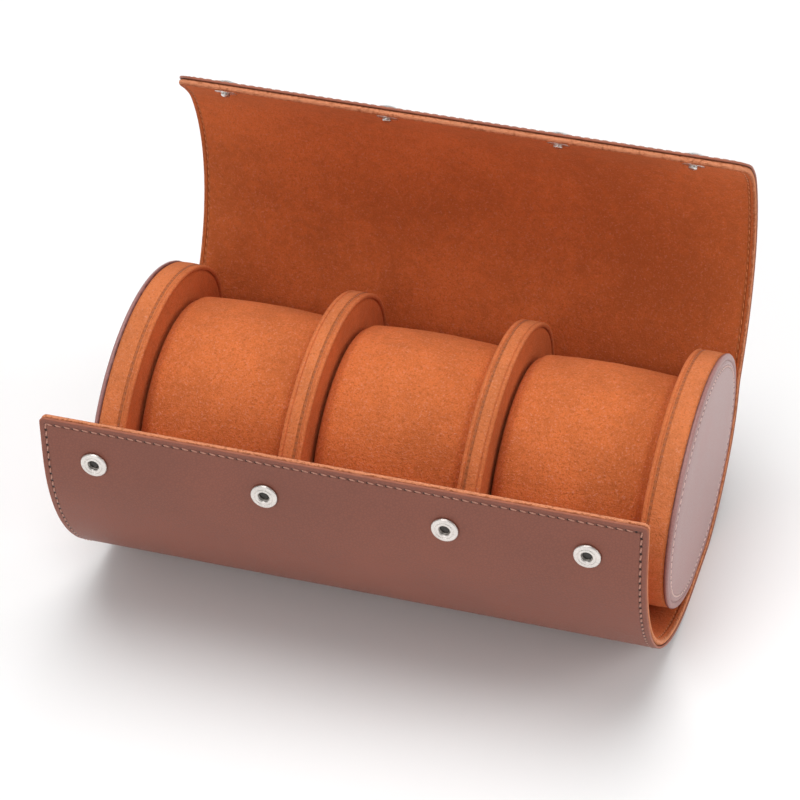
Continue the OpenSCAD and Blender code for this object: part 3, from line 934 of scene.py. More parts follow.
class Wrap:
    """Leather wrap and its suede lining, made as strips that each cross one fold."""

    # Joint that a strip crosses, the strip's name, and the CAD panels that it stands for.
    STRIPS = (("flap_fold_5", "flap_top", ("flap_front",)),
              ("flap_fold_4", "flap_bend_1", ("flap_fold_3",)),
              ("flap_fold_3", "flap_bend_2", ("flap_fold_2",)),
              ("flap_fold_2", "flap_bend_3", ("flap_fold_1",)),
              ("flap_fold", "flap_foot", ("flap_lower",)),
              ("lid_fold", "back", ("wrap_base",)),
              ("lid_fold_2", "lid_root", ("lid_fold_1",)),
              ("lid_fold_3", "lid_low", ("lid_fold_2", "lid_panel")),
              ("lid_press", "lid_top", ("lid_front",)))
    # Distances from the side edges at which columns of points stand, and number of columns between them.
    EDGE_COLUMNS = (0.0, 0.12, 0.3, 0.55, 0.9, 1.4, 2.2, 3.0, 3.8, 6.0)
    INNER_COLUMNS = 49
    # Distances from the free ends at which rows of points stand, and distance of the other rows.
    END_ROWS = (0.0, 0.06, 0.16, 0.3, 0.5, 0.75, 1.05, 1.4, 1.8, 2.3, 3.0, 3.8)
    ROW = 1.5
    # Added to X where run_mm is counted along the case, so that it is never below 0.
    RUN_START = 300.0
    # Heights of the broad and the short waves in each layer.
    WAVES = (0.06, 0.05)
    # Half of the length about a fold, at most, over which build finds two points that it does not use.
    BEND_REACH = 4.5

    def __init__(self, shape: CaseShape, finishes: dict[str, bpy.types.Material]) -> None:
        """Find the folds along the line, and cut the strips half way between them.

        Args:
            shape: Sizes of the case.
            finishes: Materials by name.
        """
        self.shape = shape
        self.finishes = finishes
        self.path = WrapPath(shape)
        joints = {j["name"]: j for j in frame["joints"]}
        folds = [self.path.nearest(np.array(joints[row[0]]["pos_m"][1:]) / MM) for row in self.STRIPS]
        cuts = [0.0, *((a + b) / 2 for a, b in zip(folds, folds[1:])), self.path.length]
        self.strips: list[Strip] = []
        for k, (joint, name, nodes) in enumerate(self.STRIPS):
            sides = ("child", "parent") if joint.startswith("flap") else ("parent", "child")
            before, after = (joints[joint][side] for side in sides)
            self.strips.append(Strip(name, nodes, before, after, folds[k], cuts[k], cuts[k + 1]))

    def outline(self, s: np.ndarray, inset: float) -> tuple[np.ndarray, np.ndarray, np.ndarray]:
        """Half width of the wrap's outline moved in by inset, at distances along the line.

        With W the half length of the case, R the corner radius and t the distance to the nearer end, all
        less the inset, the half width is W - (R - sqrt(R^2 - (R - t)^2)) in a corner and W elsewhere.

        Args:
            s: Distances along the line.
            inset: How far the outline stands back from the wrap's edge.

        Returns:
            Half widths, distances to the inset end, and inset corner radii.
        """
        t = np.maximum(np.minimum(s, self.path.length - s) - inset, 0)
        radius = np.where(s < self.path.length / 2, self.shape.flap_corner_r, self.shape.lid_corner_r) - inset
        inside = np.clip(radius - t, 0, radius)
        half = self.shape.case_len / 2 - inset - (radius - np.sqrt(radius ** 2 - inside ** 2))
        return half, t, radius

    def rows(self, strip: Strip, inset: float) -> np.ndarray:
        """Places of a strip's rows, evenly spread, and closer near the free ends and their corners.

        Args:
            strip: Strip to divide.
            inset: How far the layer's edge stands back from the wrap's edge.

        Returns:
            Distances along the line.
        """
        total, fine = self.path.length, inset + np.array(self.END_ROWS)
        count = max(6, int((strip.end - strip.start) / self.ROW))
        even = np.linspace(strip.start, strip.end, count + 1)
        if strip.start == 0.0:
            even = np.r_[fine, even[even > fine[-1] + 0.6]]
        if strip.end == total:
            even = np.r_[even[even < total - fine[-1] - 0.6], total - fine[::-1]]
        return even

    def slab(self, strip: Strip, sheet: Sheet) -> tuple[Shell, float]:
        """Closed slab of one layer of a strip.

        Each row is a loop: columns across the outer face and back across the inner face. The half
        thickness at a point is sqrt(r^2 - (r - e)^2) with e the distance to the sheet's edge and r the
        half thickness, so the free edges are round. Low seeded waves run over both faces. Nothing goes
        below the floor.

        Args:
            strip: Strip to build.
            sheet: Settings of the layer.

        Returns:
            The slab and its flat area in square millimetres.
        """
        inset, r = sheet.inset, (sheet.high - sheet.low) / 2
        s = self.rows(strip, inset)
        half, t, radius = self.outline(s, inset)
        left = -half[:, None] + np.array(self.EDGE_COLUMNS)
        inner = np.linspace(-1, 1, self.INNER_COLUMNS)[1:-1] * (half[:, None] - self.EDGE_COLUMNS[-1])
        x = np.concatenate([left, inner, -left[:, ::-1]], 1)
        reach = self.shape.case_len / 2 - inset
        s_all, t_all, r_all = s[:, None], t[:, None], radius[:, None]
        deep = np.clip(r_all - t_all, 0, None)
        corner = np.clip(np.abs(x) - (reach - r_all), 0, None)
        e = np.where((deep > 0) & (corner > 0), r_all - np.hypot(corner, deep),
                     np.minimum(reach - np.abs(x), t_all))
        e = np.where(e < 1e-6, 0, e)
        thick = np.sqrt(r ** 2 - (r - np.minimum(e, r)) ** 2)
        p, n = self.path.at(s)
        wave = self.WAVES[0] * smooth_wave(x + 0.6 * s_all, 3) * np.clip(e / 25, 0, 1)
        wave += self.WAVES[1] * smooth_wave(s_all * np.ones_like(x) + 40, 7, 3, 60) * np.clip(e / 10, 0, 1)
        faces = []
        for half_t in (thick, -thick):
            depth = (sheet.low + sheet.high) / 2 + half_t - self.shape.mid_depth + wave
            faces.append(np.concatenate([x[..., None], p[:, None, :] + n[:, None, :] * depth[..., None]], -1))
        loop = there_and_back(*faces)
        loop[..., 2] = np.maximum(loop[..., 2], 0.0)
        rows, columns = loop.shape[:2]
        run = np.where(reach - np.abs(x) < t_all, s_all, x + self.RUN_START)
        k = np.arange(x.shape[1] - 1)
        caps = []
        for row, step in ((0, 1), (rows - 1, -1)):
            if t[row] > 1e-9:
                cap = row * columns + np.stack([k, k + 1, columns - k - 1, (columns - k) % columns], -1)
                caps += [list(dict.fromkeys(q)) for q in cap[:, ::step].tolist()]
        shell = Shell(loop.reshape(-1, 3), grid_quads(rows, columns, True), caps,
                      there_and_back(e, e) + inset, there_and_back(run, run))
        return shell, float(np.sum((half[1:] + half[:-1]) * np.diff(s)))

    def stitch_places(self, layer: Layer, strip: Strip, inset: float, pitch: float) -> np.ndarray:
        """Middles and directions of the stitches beside every edge of a strip.

        On the leather none stands where the wrap lies on the floor.

        Args:
            layer: Layer that carries them.
            strip: Strip that they belong to.
            inset: Distance of the row from the edge.
            pitch: Distance between stitches.

        Returns:
            Array of (x, s, dx, ds).
        """
        total, corner = self.path.length, self.shape.lid_corner_r
        side = self.shape.case_len / 2 - inset
        marks = np.arange(math.ceil(strip.start / pitch), math.ceil(strip.end / pitch)) * pitch
        marks = marks[(marks > inset + 0.8) & (marks < total - corner)]
        if layer is Layer.LEATHER:
            p, n = self.path.at(marks)
            marks = marks[p[:, 1] + n[:, 1] * (self.shape.wrap_t - self.shape.mid_depth) > 0.5]
        parts = [rows_of(sign * side, marks, 0.0, 1.0) for sign in (-1, 1)]
        if strip.start == 0.0:
            parts.append(rows_of(np.arange(-side + 1.2, side - 1.1, pitch), inset, 1.0, 0.0))
        if strip.end == total:
            reach, arc_r = self.shape.case_len / 2 - corner, corner - inset
            parts.append(rows_of(np.arange(-reach, reach + 0.1, pitch), total - inset, 1.0, 0.0))
            a = np.arange(1, int(arc_r * math.pi / 2 / pitch) + 1) * pitch / arc_r
            parts += [rows_of(sign * (reach + arc_r * np.sin(a)), total - corner + arc_r * np.cos(a),
                              sign * np.cos(a), -np.sin(a)) for sign in (-1, 1)]
        return np.concatenate(parts)

    def stitches(self, layer: Layer, strip: Strip, inset: float, pitch: float) -> Shell:
        """Rows of stitches beside every edge of a strip, on one face, each sunk into the sheet.

        Args:
            layer: Layer that carries them.
            strip: Strip that they belong to.
            inset: Distance of the row from the edge.
            pitch: Distance between stitches.

        Returns:
            All stitches of this strip and face.
        """
        stops = self.stitch_places(layer, strip, inset, pitch)
        x0, s, dx, ds = (stops[:, k, None, None] for k in range(4))
        sheet = layer.value
        along, across, up = stitch_form(sheet.stitch, pitch)
        face, sign = (sheet.high, 1.0) if layer is Layer.LEATHER else (sheet.low, -1.0)
        p, n = self.path.at(np.clip(s + ds * along + dx * across, 0, self.path.length))
        depth = face - self.shape.mid_depth + sign * (up - sheet.stitch.sunk)
        x = x0 + dx * along - ds * across
        points = np.concatenate([x[..., None], p + n * depth[None, ..., None]], -1)
        return Shell(points.reshape(-1, 3), *stitch_faces(len(stops)))

    def build(self) -> None:
        """Build every strip with its stitches."""
        for strip in self.strips:
            name = strip.name
            reach = min(strip.fold - strip.start, strip.end - strip.fold, self.BEND_REACH)
            bend = self.path.at(strip.fold + np.array([-reach, reach]))[0] * MM
            for layer in Layer:
                sheet, word = layer.value, layer.name.lower()
                shell, area = self.slab(strip, sheet)
                piece = shell.to_object(f"{name}_{word}", self.finishes[sheet.finish], sheet.finish,
                                        nodes=tuple(f"{n}_{word}" for n in strip.nodes))
                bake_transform(piece)
                thread = self.stitches(layer, strip, *WRAP_SEAM)
                sewn = thread.to_object(f"{name}_{word}_thread", self.finishes[sheet.thread], sheet.finish,
                                        merge=False)
                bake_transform(sewn)
            LOG.info("wrap strip %s, %.0f to %.0f mm", name, strip.start, strip.end)


@dataclass
class Snaps:
    """Ring snaps: four sockets on the flap and four studs on the lid's lining."""

    shape: CaseShape
    path: WrapPath
    finishes: dict[str, bpy.types.Material]
    places: tuple[float, ...] = (-84.0, -25.0, 36.0, 83.0)
    socket_inset: float = 15.5
    stud_inset: float = 9.5
    facets: int = 48
    sharp: float = 32.0

    def lathe(self, profile: np.ndarray, middle: np.ndarray, out: np.ndarray) -> Shell:
        """Turn a profile (r, h) about an axis in Y and Z at each of the four places.

        A point is the middle, plus h along the axis, plus r cos a along X and r sin a along the third
        direction. The profile starts and ends on the axis.

        Args:
            profile: Points (r, h) in millimetres.
            middle: Point (y, z) where the axis meets the sheet.
            out: Unit direction (y, z) of the axis.

        Returns:
            The four turned solids, with the distance from the axis as edge_mm.
        """
        a = circle(self.facets)
        r, h = profile[:, 0, None], profile[:, 1, None]
        side = np.array([-out[1], out[0]])
        flat = middle + h[..., None] * out + (r * np.sin(a))[..., None] * side
        turned = [np.concatenate([(r * np.cos(a) + x)[..., None], flat], -1) for x in self.places]
        quads = grid_quads(len(profile), self.facets, True)
        base = np.arange(len(self.places))[:, None, None] * len(profile) * self.facets
        return Shell(np.concatenate(turned).reshape(-1, 3), (quads + base).reshape(-1, 4), [],
                     np.tile(np.repeat(profile[:, 0], self.facets), len(self.places)))

    def socket_profile(self) -> np.ndarray:
        """Ring socket: undercut foot, round rim, sloping top with a fine groove, lip, bevel and bore.

        Returns:
            Array of (r, h).
        """
        rim = np.array([4.05, 0.55]) + 0.55 * unit(np.linspace(0, math.pi / 2, 7))
        return np.concatenate([
            [[0, -0.3], [4.15, -0.3], [4.15, 0.12], [4.5, 0.3]], rim,
            [[3.6, 1.17], [3.2, 1.2], [3.1, 1.1], [3.0, 1.1], [2.9, 1.22], [2.5, 1.3], [2.15, 1.26],
             [1.9, 1.06], [1.8, 0.8], [1.8, 0.55], [1.72, 0.45], [1.72, 0.3], [1.85, 0.2], [1.85, 0.08],
             [1.2, 0.06], [0, 0.06]]])

    def stud_profile(self) -> np.ndarray:
        """Stud: round-edged flange, raised ring, waisted neck and ball head.

        Returns:
            Array of (r, h).
        """
        turn = unit(np.linspace(0, math.pi / 2, 6))
        edge = np.array([3.85, 0.13]) + 0.15 * turn
        head = np.array([0.0, 0.95]) + np.array([1.65, 0.8]) * turn
        return np.concatenate([[[0, -0.3], [4.0, -0.3]], edge,
                               [[3.2, 0.26], [2.9, 0.36], [2.5, 0.38], [2.2, 0.3], [1.65, 0.32], [1.45, 0.5],
                                [1.45, 0.65], [1.6, 0.8]], head[:-1], [[0, 1.75]]])

    def build(self, flap_body: str, lid_body: str) -> None:
        """Build sockets and studs.

        Args:
            flap_body: Body of the flap's front panel.
            lid_body: Body of the lid's front strip.
        """
        s, f, slot = self.shape, self.finishes, "snap_metal"
        middle = np.array([s.flap_y - s.flap_r, s.flap_r + s.flap_rise - self.socket_inset])
        sockets = self.lathe(self.socket_profile(), middle, np.array([-1.0, 0.0]))
        sockets.to_object("snap_ring_sockets", f["socket_metal"], slot, flap_body, ("snap_sockets",),
                          self.sharp)
        p, n = self.path.at(np.array([self.path.length - self.stud_inset * s.lid_mid_r / s.lid_r]))
        studs = self.lathe(self.stud_profile(), p[0] - n[0] * s.mid_depth, -n[0])
        studs.to_object("snap_ball_studs", f["pale_metal"], slot, lid_body, ("snap_studs",), self.sharp)
        LOG.info("snaps, 4 sockets and 4 studs")


# Discs.


@dataclass
class Rim:
    """Pieces that run round the oval of a disc or divider."""

    shape: CaseShape
    stations: int = 300
    thread_stations: int = 2880

    def height(self, p: np.ndarray, inset: np.ndarray | float) -> np.ndarray:
        """Heights of points of the oval, lifted to the lining below the flat cut."""
        return np.maximum(self.shape.disc_z + p[..., 1], self.shape.wrap_t + np.minimum(inset, Oval.DEEP))

    def sweep(self, profile: np.ndarray, closed: bool, mirror: int, wobble: float = 0.0) -> Shell:
        """Carry a profile round the oval.

        The profile is a list of (x, inset). Each station is the point of the oval with outward normal
        angle a, moved in by inset; below the flat cut it is lifted to the lining.

        Args:
            profile: Points (x, inset) in millimetres, in order.
            closed: Whether the profile is a closed loop.
            mirror: -1 where the piece is mirrored in X.
            wobble: Height of a slight unevenness.

        Returns:
            The swept shell, with the insets as edge_mm.
        """
        a, disc, mid = circle(self.stations), self.shape.disc, self.shape.disc_z
        aa, ii = np.meshgrid(a, profile[:, 1], indexing="ij")
        p = disc.at(aa, ii + wobble * smooth_wave(aa * 50 + ii * 2, 5, 4, 40))
        left = disc.shrink(ii)
        points = rows_of(profile[:, 0] * mirror, p[..., 0] * left, mid + (self.height(p, ii) - mid) * left)
        rows, columns = ii.shape
        around = grid_quads(2, columns, closed)
        seam = np.where(around < columns, around + (rows - 1) * columns, around - columns)
        quads = np.concatenate([grid_quads(rows, columns, closed), seam])
        return Shell(points.reshape(-1, 3), quads, [], ii, np.repeat(walked(disc.at(a, 0.0)), columns))

    def thread(self, x: float, seam: Span, lift: Span, mirror: int, size: float) -> Shell:
        """Stitches round the oval.

        Args:
            x: Place along the case.
            seam: Distance in from the rim, and distance between stitches.
            lift: Direction (x, outwards) in which the stitches stand proud.
            mirror: -1 where mirrored.
            size: Thickness relative to the plain thread.

        Returns:
            All the stitches.
        """
        inset, pitch = seam
        p = self.shape.disc.at(circle(self.thread_stations), inset)
        line = rows_of(p[:, 0], self.height(p, inset))
        line = np.concatenate([line, line[:1]])
        length = walked(line)
        count = int(length[-1] / pitch)
        spots = np.arange(count) * length[-1] / count
        along, across, up = stitch_form(Stitch(0.37, 0.34 * size, 0.30 * size), pitch)
        s = (spots[:, None, None] + along[None]) % length[-1]
        y, z = (np.interp(s, length, line[:, k]) for k in range(2))
        n = np.stack([y, z - self.shape.disc_z], -1)
        n /= np.linalg.norm(n, axis=-1)[..., None]
        px = x + up * lift[0] - across * lift[1]
        out = up * lift[1] + across * lift[0]
        points = rows_of(px * mirror, y + n[..., 0] * out, z + n[..., 1] * out)
        return Shell(points.reshape(-1, 3), *stitch_faces(count))


def round_profile(cx: float, inset: float, rx: float, ri: float, count: int) -> np.ndarray:
    """Closed ellipse as a profile of (x, inset).

    Args:
        cx: Middle along the case.
        inset: Middle in from the rim.
        rx: Half width along the case.
        ri: Half depth in from the rim.
        count: Number of points.

    Returns:
        Array of points.
    """
    return np.array([cx, inset]) + np.array([rx, ri]) * unit(circle(count))


class Discs:
    """End discs and dividers: leather face, rolled piping, sewn band, bead and padded suede face."""

    # Insets and heights of the leather face: turned rim, sewn groove and crown.
    FACE = ((2.25, -1.1), (2.45, -0.6), (2.75, -0.25), (3.1, -0.05), (3.5, 0.08), (4.0, 0.06), (4.3, -0.06),
            (4.6, -0.16), (4.9, -0.06), (5.3, 0.1), (5.9, 0.2), (6.8, 0.28), (10.0, 0.42))
    FACE_CROWN = 0.6
    # How far the face's hidden back stands in from end_out, and its inset.
    FACE_BACK = (2.8, 3.0)
    # Rolled edge: middle in from end_out, inset, half width and half depth.
    PIPE = (0.85, 1.45, 0.95, 1.25)
    # Bead: inset, half width as a share of its diameter, and half depth.
    BEAD = (1.1, 0.52, 0.85)
    # Heights of slight unevenness in the leather and the suede.
    UNEVEN = (0.05, 0.03)
    # Insets of the pad's rolled edge and of its crown's first row.
    PAD_ROLL = (2.0, 4.2, 5.5)
    # Inset of the band at its borders, and its rise in the middle.
    BAND = (0.50, 0.28)

    def __init__(self, shape: CaseShape, finishes: dict[str, bpy.types.Material]) -> None:
        """Keep the sizes and materials.

        Args:
            shape: Sizes of the case.
            finishes: Materials by name.
        """
        self.shape = shape
        self.finishes = finishes
        self.rim = Rim(shape)
        self.limit = shape.disc.height / 2

    def face_profile(self) -> np.ndarray:
        """Profile of the leather face: from its hidden back round its rim and over its crown.

        Returns:
            Array of (x, inset).
        """
        knots, heights = np.array([*self.FACE, (self.limit, self.FACE_CROWN)]).T
        insets = np.r_[knots[:-2], 8.0, 10.0, np.linspace(12.0, self.limit, 12)]
        front = rows_of(self.shape.end_out + np.interp(insets, knots, heights), insets)
        behind, inset = self.FACE_BACK
        return np.concatenate([rows_of(self.shape.end_out - behind, np.array([self.limit, inset])), front])

    def pad_profile(self, x_face: float, direction: float) -> np.ndarray:
        """Profile of a padded suede face: from its hidden back round its rim and over its crown.

        The crown is 0.25 (1 - q^2) high, with q from 0 in the middle to 1 near the rim, and the edge
        rolls over to the bead along a quarter ellipse.

        Args:
            x_face: Place of the CAD face that the pad stands on.
            direction: 1 where the crown faces +X.

        Returns:
            Array of (x, inset).
        """
        bead, limit = self.shape.bead_d, self.limit
        low, high, first = self.PAD_ROLL
        insets = np.r_[np.linspace(low, high, 7), np.linspace(first, limit, 16)]
        roll = np.sqrt(np.clip(1 - ((high - np.minimum(insets, high)) / (high - low)) ** 2, 0, 1))
        crown = 0.25 * (1 - ((limit - insets) / (limit - 4)).clip(0, 1) ** 2)
        front = rows_of(x_face + direction * (bead * (0.35 + 0.55 * roll) + crown - bead), insets)
        back = np.array([[x_face - direction * bead, limit], [x_face - direction * bead, 1.4],
                         [x_face - direction * bead * 0.9, 1.2]])
        return np.concatenate([back, front])

    def band_profile(self, x0: float, x1: float) -> np.ndarray:
        """Closed profile of a suede band round a rim, slightly crowned, with rounded borders.

        Args:
            x0: One border.
            x1: Other border.

        Returns:
            Array of (x, inset).
        """
        q = np.linspace(-1, 1, 21)
        border, crown = self.BAND
        inset = border - crown * (1 - q ** 2) + 2.2 * np.clip(np.abs(q) - 0.80, 0, 1)
        outer = rows_of((x0 + x1) / 2 + q * (x1 - x0) / 2, inset)
        return np.concatenate([outer, [[x1, 1.0], [x0, 1.0]]])

    def end(self, side: Side) -> None:
        """Build one end disc.

        Args:
            side: Left or right.
        """
        s, m, rim, f = self.shape, side.value, self.rim, self.finishes
        name, slot = f"end_{side.name.lower()}", "disc_leather"
        face = rim.sweep(self.face_profile(), False, m)
        face.to_object(f"{name}_face_leather", f["disc_leather"], slot, "core", (f"{name}_face",))
        back, *ellipse = self.PIPE
        pipe = rim.sweep(round_profile(s.end_out - back, *ellipse, 22), True, m, self.UNEVEN[0])
        # Painted shade: edge_mm counts from the band side of the rolled edge, so that its dark rim stands for
        # the shade in the gap beside the band.
        pipe.edge = np.abs(pipe.points[:, 0]) - (s.end_out - 1.75)
        pipe.to_object(f"{name}_rolled_edge", f["edge_leather"], slot, "core", (f"{name}_piping",))
        thread = rim.thread(s.end_out - 0.06, FACE_SEAM, (1.0, 0.0), m, 1.15)
        thread.to_object(f"{name}_face_thread", f["disc_thread"], slot, "core", merge=False)
        self.band(name, s.end_in + s.bead_d * 0.75, s.end_out - 1.7, m, 0.16)
        self.bead_and_pad(name, s.end_in, m, 1.0, f"{name}_pad")
        LOG.info("end disc %s", name)

    def band(self, name: str, x0: float, x1: float, mirror: int, seam: float) -> None:
        """Build the sewn suede band of a disc.

        Args:
            name: First words of the pieces' names.
            x0: One border.
            x1: Other border.
            mirror: -1 where mirrored.
            seam: Place of the sewn line across the band, as a share of its width.
        """
        f, line = self.finishes, x0 + seam * (x1 - x0)
        shell = self.rim.sweep(self.band_profile(x0, x1), True, mirror, self.UNEVEN[1])
        shell.edge = np.abs(np.abs(shell.points[:, 0]) - line)
        shell.to_object(f"{name}_band_suede", f["band_suede"], "band_suede", "core", (f"{name}_band",))
        thread = self.rim.thread(line, (0.44, BAND_SEAM[1]), (0.0, 1.0), mirror, 0.6)
        thread.to_object(f"{name}_band_thread", f["band_thread"], "band_suede", "core", merge=False)

    def bead_and_pad(self, name: str, x: float, mirror: int, direction: float, node: str) -> None:
        """Build the bead and the padded face of one side of a disc.

        Args:
            name: First words of the pieces' names.
            x: Outermost place of the pad's face.
            mirror: -1 where mirrored.
            direction: 1 where the pad faces -X before the mirror, -1 where it faces +X.
            node: CAD node that they stand for.
        """
        f, bead_d = self.finishes, self.shape.bead_d
        inset, share, deep = self.BEAD
        ring = round_profile(x + direction * bead_d * 0.5, inset, bead_d * share, deep, 14)
        bead = self.rim.sweep(ring, True, mirror, self.UNEVEN[1])
        bead.to_object(f"{name}_bead", f["bead_suede"], "band_suede", "core")
        pad = self.rim.sweep(self.pad_profile(x + direction * 0.1, -direction), False, mirror)
        obj = pad.to_object(f"{name}_padded_face", f["pad_suede"], "pad_suede", "core", (node,))

    def divider(self, side: Side) -> None:
        """Build one divider between two pillows.

        Args:
            side: Left or right.
        """
        s, m, name = self.shape, side.value, f"divider_{side.name.lower()}"
        x0, x1 = s.divider_x - s.divider_t / 2, s.divider_x + s.divider_t / 2
        self.band(name, x0 + s.bead_d * 0.8, x1 - s.bead_d * 0.8, m, 0.2)
        self.bead_and_pad(f"{name}_inner", x0, m, 1.0, f"{name}_pads")
        self.bead_and_pad(f"{name}_outer", x1, m, -1.0, f"{name}_pads")
        LOG.info("divider %s", name)

    def build(self) -> None:
        """Build both end discs and both dividers."""
        for side in (Side.LEFT, Side.RIGHT):
            self.end(side)
            self.divider(side)


# Pillows.


@dataclass
class Pillow:
    """Soft oval pillow that holds one watch."""

    shape: CaseShape
    side: Side
    material: bpy.types.Material
    oval: Oval = Oval(85.0, 70.0, 26.5)
    length: float = 53.8
    edge_r: float = 5.5
    crown: float = 0.9
    soft_from: float = 0.55
    end_rise: float = 0.5
    seat: float = 0.5
    waves: Span = (0.35, 0.22)
    loose: float = 0.6
    dent: tuple[float, float, float] = (0.35, 3.2, 0.6)
    height_mid: float = 38.6
    pitch: float = 63.0
    stations: int = 57
    around: int = 200

    def build(self) -> None:
        """Build the pillow.

        The form is an oval carried along X. Its inset is crown q^2 over the middle and follows a quarter
        circle of radius edge_r round each end, where q runs from 0 in the middle to 1 at the soft edge.
        Low seeded waves make the cover sit a little loose. A dent runs round near each end, where the cover
        is sewn to its end panel; its values are its depth, its place past the flat and its width. Each end
        rises to its middle by end_rise.
        """
        u = np.linspace(-1, 1, self.stations)[:, None]
        q = np.abs(u) / self.soft_from
        turn = np.clip(np.abs(u) - self.soft_from, 0, None) / (1 - self.soft_from) * math.pi / 2
        flat = self.length / 2 - self.edge_r
        x = np.sign(u) * np.where(q > 1, flat + self.edge_r * np.sin(turn), q * flat)
        inset = np.where(q > 1, self.crown + (self.edge_r - self.crown) * (1 - np.cos(turn)),
                         self.crown * q ** 2)
        a, seed = circle(self.around)[None, :], self.side.value + 5
        waves = self.waves[0] * smooth_wave(a * 38 + 7 * np.sin(x / 9), seed, 4, 70)
        waves += self.waves[1] * smooth_wave(x + 12 * np.sin(a * 3), seed + 9, 3, 34)
        waves *= np.clip(1.15 - np.abs(x) / (self.length / 2), 0, 1)
        depth, place, width = self.dent
        dent = depth * np.exp(-0.5 * ((np.abs(x) - flat - place) / width) ** 2)
        p = self.oval.at(a, inset + np.abs(waves) * self.loose + dent)
        z = np.maximum(p[..., 1], self.seat - self.oval.height / 2)
        points = rows_of(x + self.side.value * self.pitch, p[..., 0], self.height_mid + z)
        share = np.linspace(1, 0, 10)[1:, None, None]
        caps = []
        for row, rise in ((points[0], -self.end_rise), (points[-1], self.end_rise)):
            middle = np.array([row[0, 0] + rise, 0.0, self.height_mid])
            cap = middle + (row[None] - middle) * share
            cap[..., 0] = row[0, 0] + rise * (1 - share[..., 0] ** 2)
            caps.append(cap)
        grid = np.concatenate([caps[0][::-1], points, caps[1]])
        shell = Shell(grid.reshape(-1, 3), grid_quads(len(grid), self.around, True))
        name = f"pillow_{self.side.name.lower()}"
        obj = shell.to_object(f"{name}_suede", self.material, "cushion_suede", name, (f"{name}_cover",), 60.0)
        LOG.info("%s", name)


# CAD nodes that stay.


def dress_nodes(finishes: dict[str, bpy.types.Material]) -> None:
    """Give every CAD node its material, by the last word of its name.

    Args:
        finishes: Materials by name.
    """
    known = {"board": "board", "core": "board", "foam": "foam"}
    known |= dict.fromkeys(("lining", "cover", "pad", "pads", "band"), "lining_suede")
    for name, obj in frame["nodes"].items():
        word = name.split("_")[-1]
        finish = "bright_metal" if name.startswith("snap") else known.get(word, "outer_leather")
        obj.data.materials.clear()
        obj.data.materials.append(finishes[finish])


# Stage.


@dataclass(frozen=True)
class Studio:
    """Pale floor, soft lights and the camera of the photograph."""

    # Name, position and side in metres, and power in watts of each area light.
    LAMPS = (("top", (-0.1, 0.1, 1.6), 1.2, 17.5), ("side", (1.5, 0.1, 0.7), 0.8, 7.0),
             ("front", (-0.5, -1.5, 0.9), 0.9, 6.5))
    picture_px: int = 800
    sensor: float = 36.0
    focal_px: float = 3268.0
    turn: float = 0.2978
    tilt: float = 0.6681
    roll: float = -0.01274
    distance: float = 1139.0
    centre: Span = (418.2, 411.6)
    target: tuple[float, float, float] = (0.0, 0.0, 50.0)
    floor_half: float = 3.0

    def place(self, name: str, data: bpy.types.ID) -> bpy.types.Object:
        """Make an object and link it to the scene.

        Args:
            name: Name of the object.
            data: Its mesh, light or camera.

        Returns:
            The new object.
        """
        obj = bpy.data.objects.new(name, data)
        bpy.context.scene.collection.objects.link(obj)
        return obj

    def camera(self) -> None:
        """Place the camera at the photograph's angle, with the frame's middle moved by the lens shift."""
        a, e = self.turn, self.tilt
        view = np.array([-math.sin(a) * math.cos(e), math.cos(a) * math.cos(e), -math.sin(e)])
        right = np.array([math.cos(a), math.sin(a), 0.0])
        up = np.cross(right, view)
        across = right * math.cos(self.roll) + up * math.sin(self.roll)
        upright = -right * math.sin(self.roll) + up * math.cos(self.roll)
        place = (np.array(self.target) - view * self.distance) * MM
        data = bpy.data.cameras.new("camera")
        data.lens = self.focal_px * self.sensor / self.picture_px
        data.sensor_width = self.sensor
        data.shift_x = (self.picture_px / 2 - self.centre[0]) / self.picture_px
        data.shift_y = (self.centre[1] - self.picture_px / 2) / self.picture_px
        data.clip_start = 0.05
        camera = self.place("camera", data)
        camera.matrix_world = Matrix([*np.stack([across, upright, -view, place], 1).tolist(), [0, 0, 0, 1]])
        bpy.context.scene.camera = camera

    def build(self) -> None:
        """Build floor, lights, world and camera."""
        h = self.floor_half
        mesh = bpy.data.meshes.new("floor")
        mesh.from_pydata([(-h, -h, 0), (h, -h, 0), (h, h, 0), (-h, h, 0)], [], [(0, 1, 2, 3)])
        pale = Coat("pale_floor", (0.93, 0.93, 0.93))
        pale.settle(Base_Color=(0.93, 0.93, 0.93), Roughness=0.9, Specular_IOR_Level=0.1)
        mesh.materials.append(pale.material)
        self.place("floor", mesh)
        world = bpy.data.worlds.new("studio")
        world.use_nodes = True
        back = world.node_tree.nodes["Background"]
        back.inputs["Color"].default_value = (1.0, 1.0, 1.0, 1.0)
        back.inputs["Strength"].default_value = 0.42
        bpy.context.scene.world = world
        bpy.context.scene.view_settings.view_transform = "Standard"
        for name, spot, size, power in self.LAMPS:
            data = bpy.data.lights.new(name, "AREA")
            data.size = size
            data.energy = power
            lamp = self.place(name, data)
            lamp.location = spot
            lamp.rotation_euler = (Vector((0, 0, 0.05)) - Vector(spot)).to_track_quat("-Z", "Y").to_euler()
        self.camera()


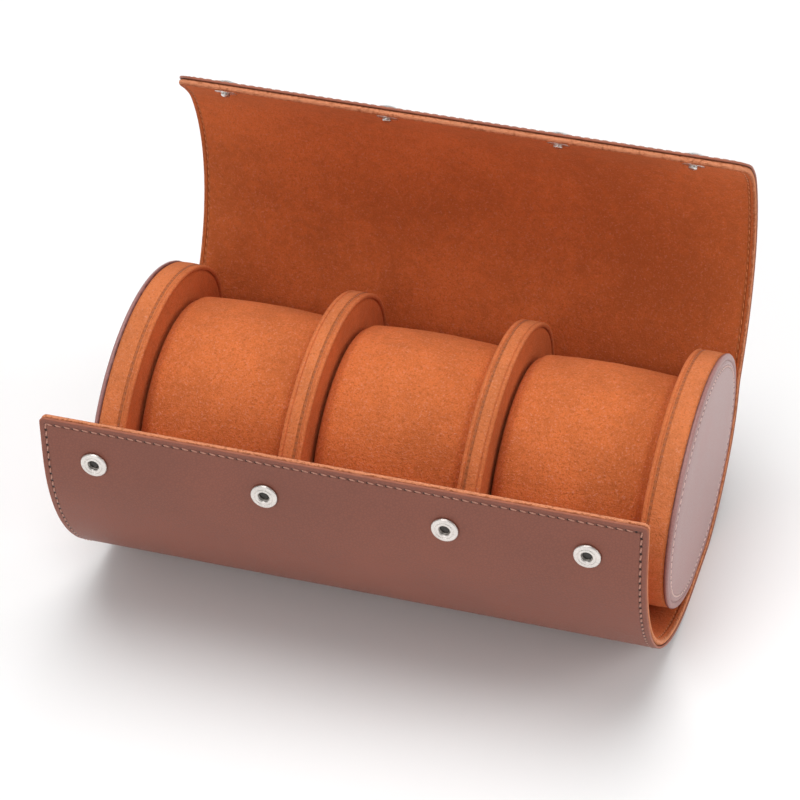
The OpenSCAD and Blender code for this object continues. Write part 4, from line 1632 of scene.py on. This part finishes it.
def make_finishes() -> dict[str, bpy.types.Material]:
    """Build the shared groups and every material.

    Returns:
        Materials by name.
    """
    for make in (grain_group, nap_group, seam_group):
        make()
    finishes = [
        LeatherFinish("outer_leather", linear(136, 81, 66), WRAP_SEAM, edge_wear_and_shade_colour=linear(168, 98, 72)),
        # disc_leather and edge_leather are lighter and pinker than the wrap's leather: partly their own tone,
        # partly painted light, the side light's sheen on the disc ends painted into their colour.
        LeatherFinish("disc_leather", linear(168, 130, 127), FACE_SEAM, edge_wear_and_shade_colour=linear(120, 80, 76),
                      roughness=0.36),
        # edge_leather's dark rim colour is painted shade of the gap between band and rolled edge.
        LeatherFinish("edge_leather", linear(160, 116, 112), edge_wear_and_shade_colour=linear(74, 32, 28), rim_wear_and_shade=0.9,
                      roughness=0.36),
        SuedeFinish("lining_suede", linear(205, 105, 56), WRAP_SEAM, patch=24.0, contrast=1.2, seam_shade=0.2,
                    cut_edge=linear(238, 158, 118)),
        SuedeFinish("pad_suede", linear(202, 106, 58), nap=0.7),
        SuedeFinish("band_suede", linear(209, 120, 72), BAND_SEAM, contrast=0.9, nap=1.2),
        SuedeFinish("bead_suede", linear(206, 115, 68), contrast=0.8, nap=1.1),
        SuedeFinish("pillow_suede", linear(209, 113, 62), patch=30.0, nap=1.5),
        ThreadFinish("leather_thread", linear(182, 128, 108)),
        ThreadFinish("suede_thread", linear(214, 126, 66)),
        ThreadFinish("disc_thread", linear(226, 192, 184)),
        ThreadFinish("band_thread", linear(172, 92, 52)),
        MetalFinish("bright_metal", (0.80, 0.79, 0.77), 0.30),
        # socket_metal paints the shade inside the socket's hole as near black.
        MetalFinish("socket_metal", (0.78, 0.73, 0.69), 0.30, bore=1.7),
        MetalFinish("pale_metal", (0.74, 0.72, 0.69), 0.28),
        HiddenFinish("board", linear(160, 138, 110)),
        HiddenFinish("foam", linear(228, 222, 200), 1200.0),
    ]
    return {f.name: f.build() for f in finishes}


def main() -> None:
    """Build the stage and every piece in order."""
    logging.basicConfig(level=logging.INFO, format="%(name)s %(message)s")
    Studio().build()
    finishes = make_finishes()
    shape = CaseShape()
    dress_nodes(finishes)
    wrap = Wrap(shape, finishes)
    wrap.build()
    Snaps(shape, wrap.path, finishes).build(wrap.strips[0].before, wrap.strips[-1].after)
    Discs(shape, finishes).build()
    for side in Side:
        Pillow(shape, side, finishes["pillow_suede"]).build()


if __name__ == "__main__":
    main()
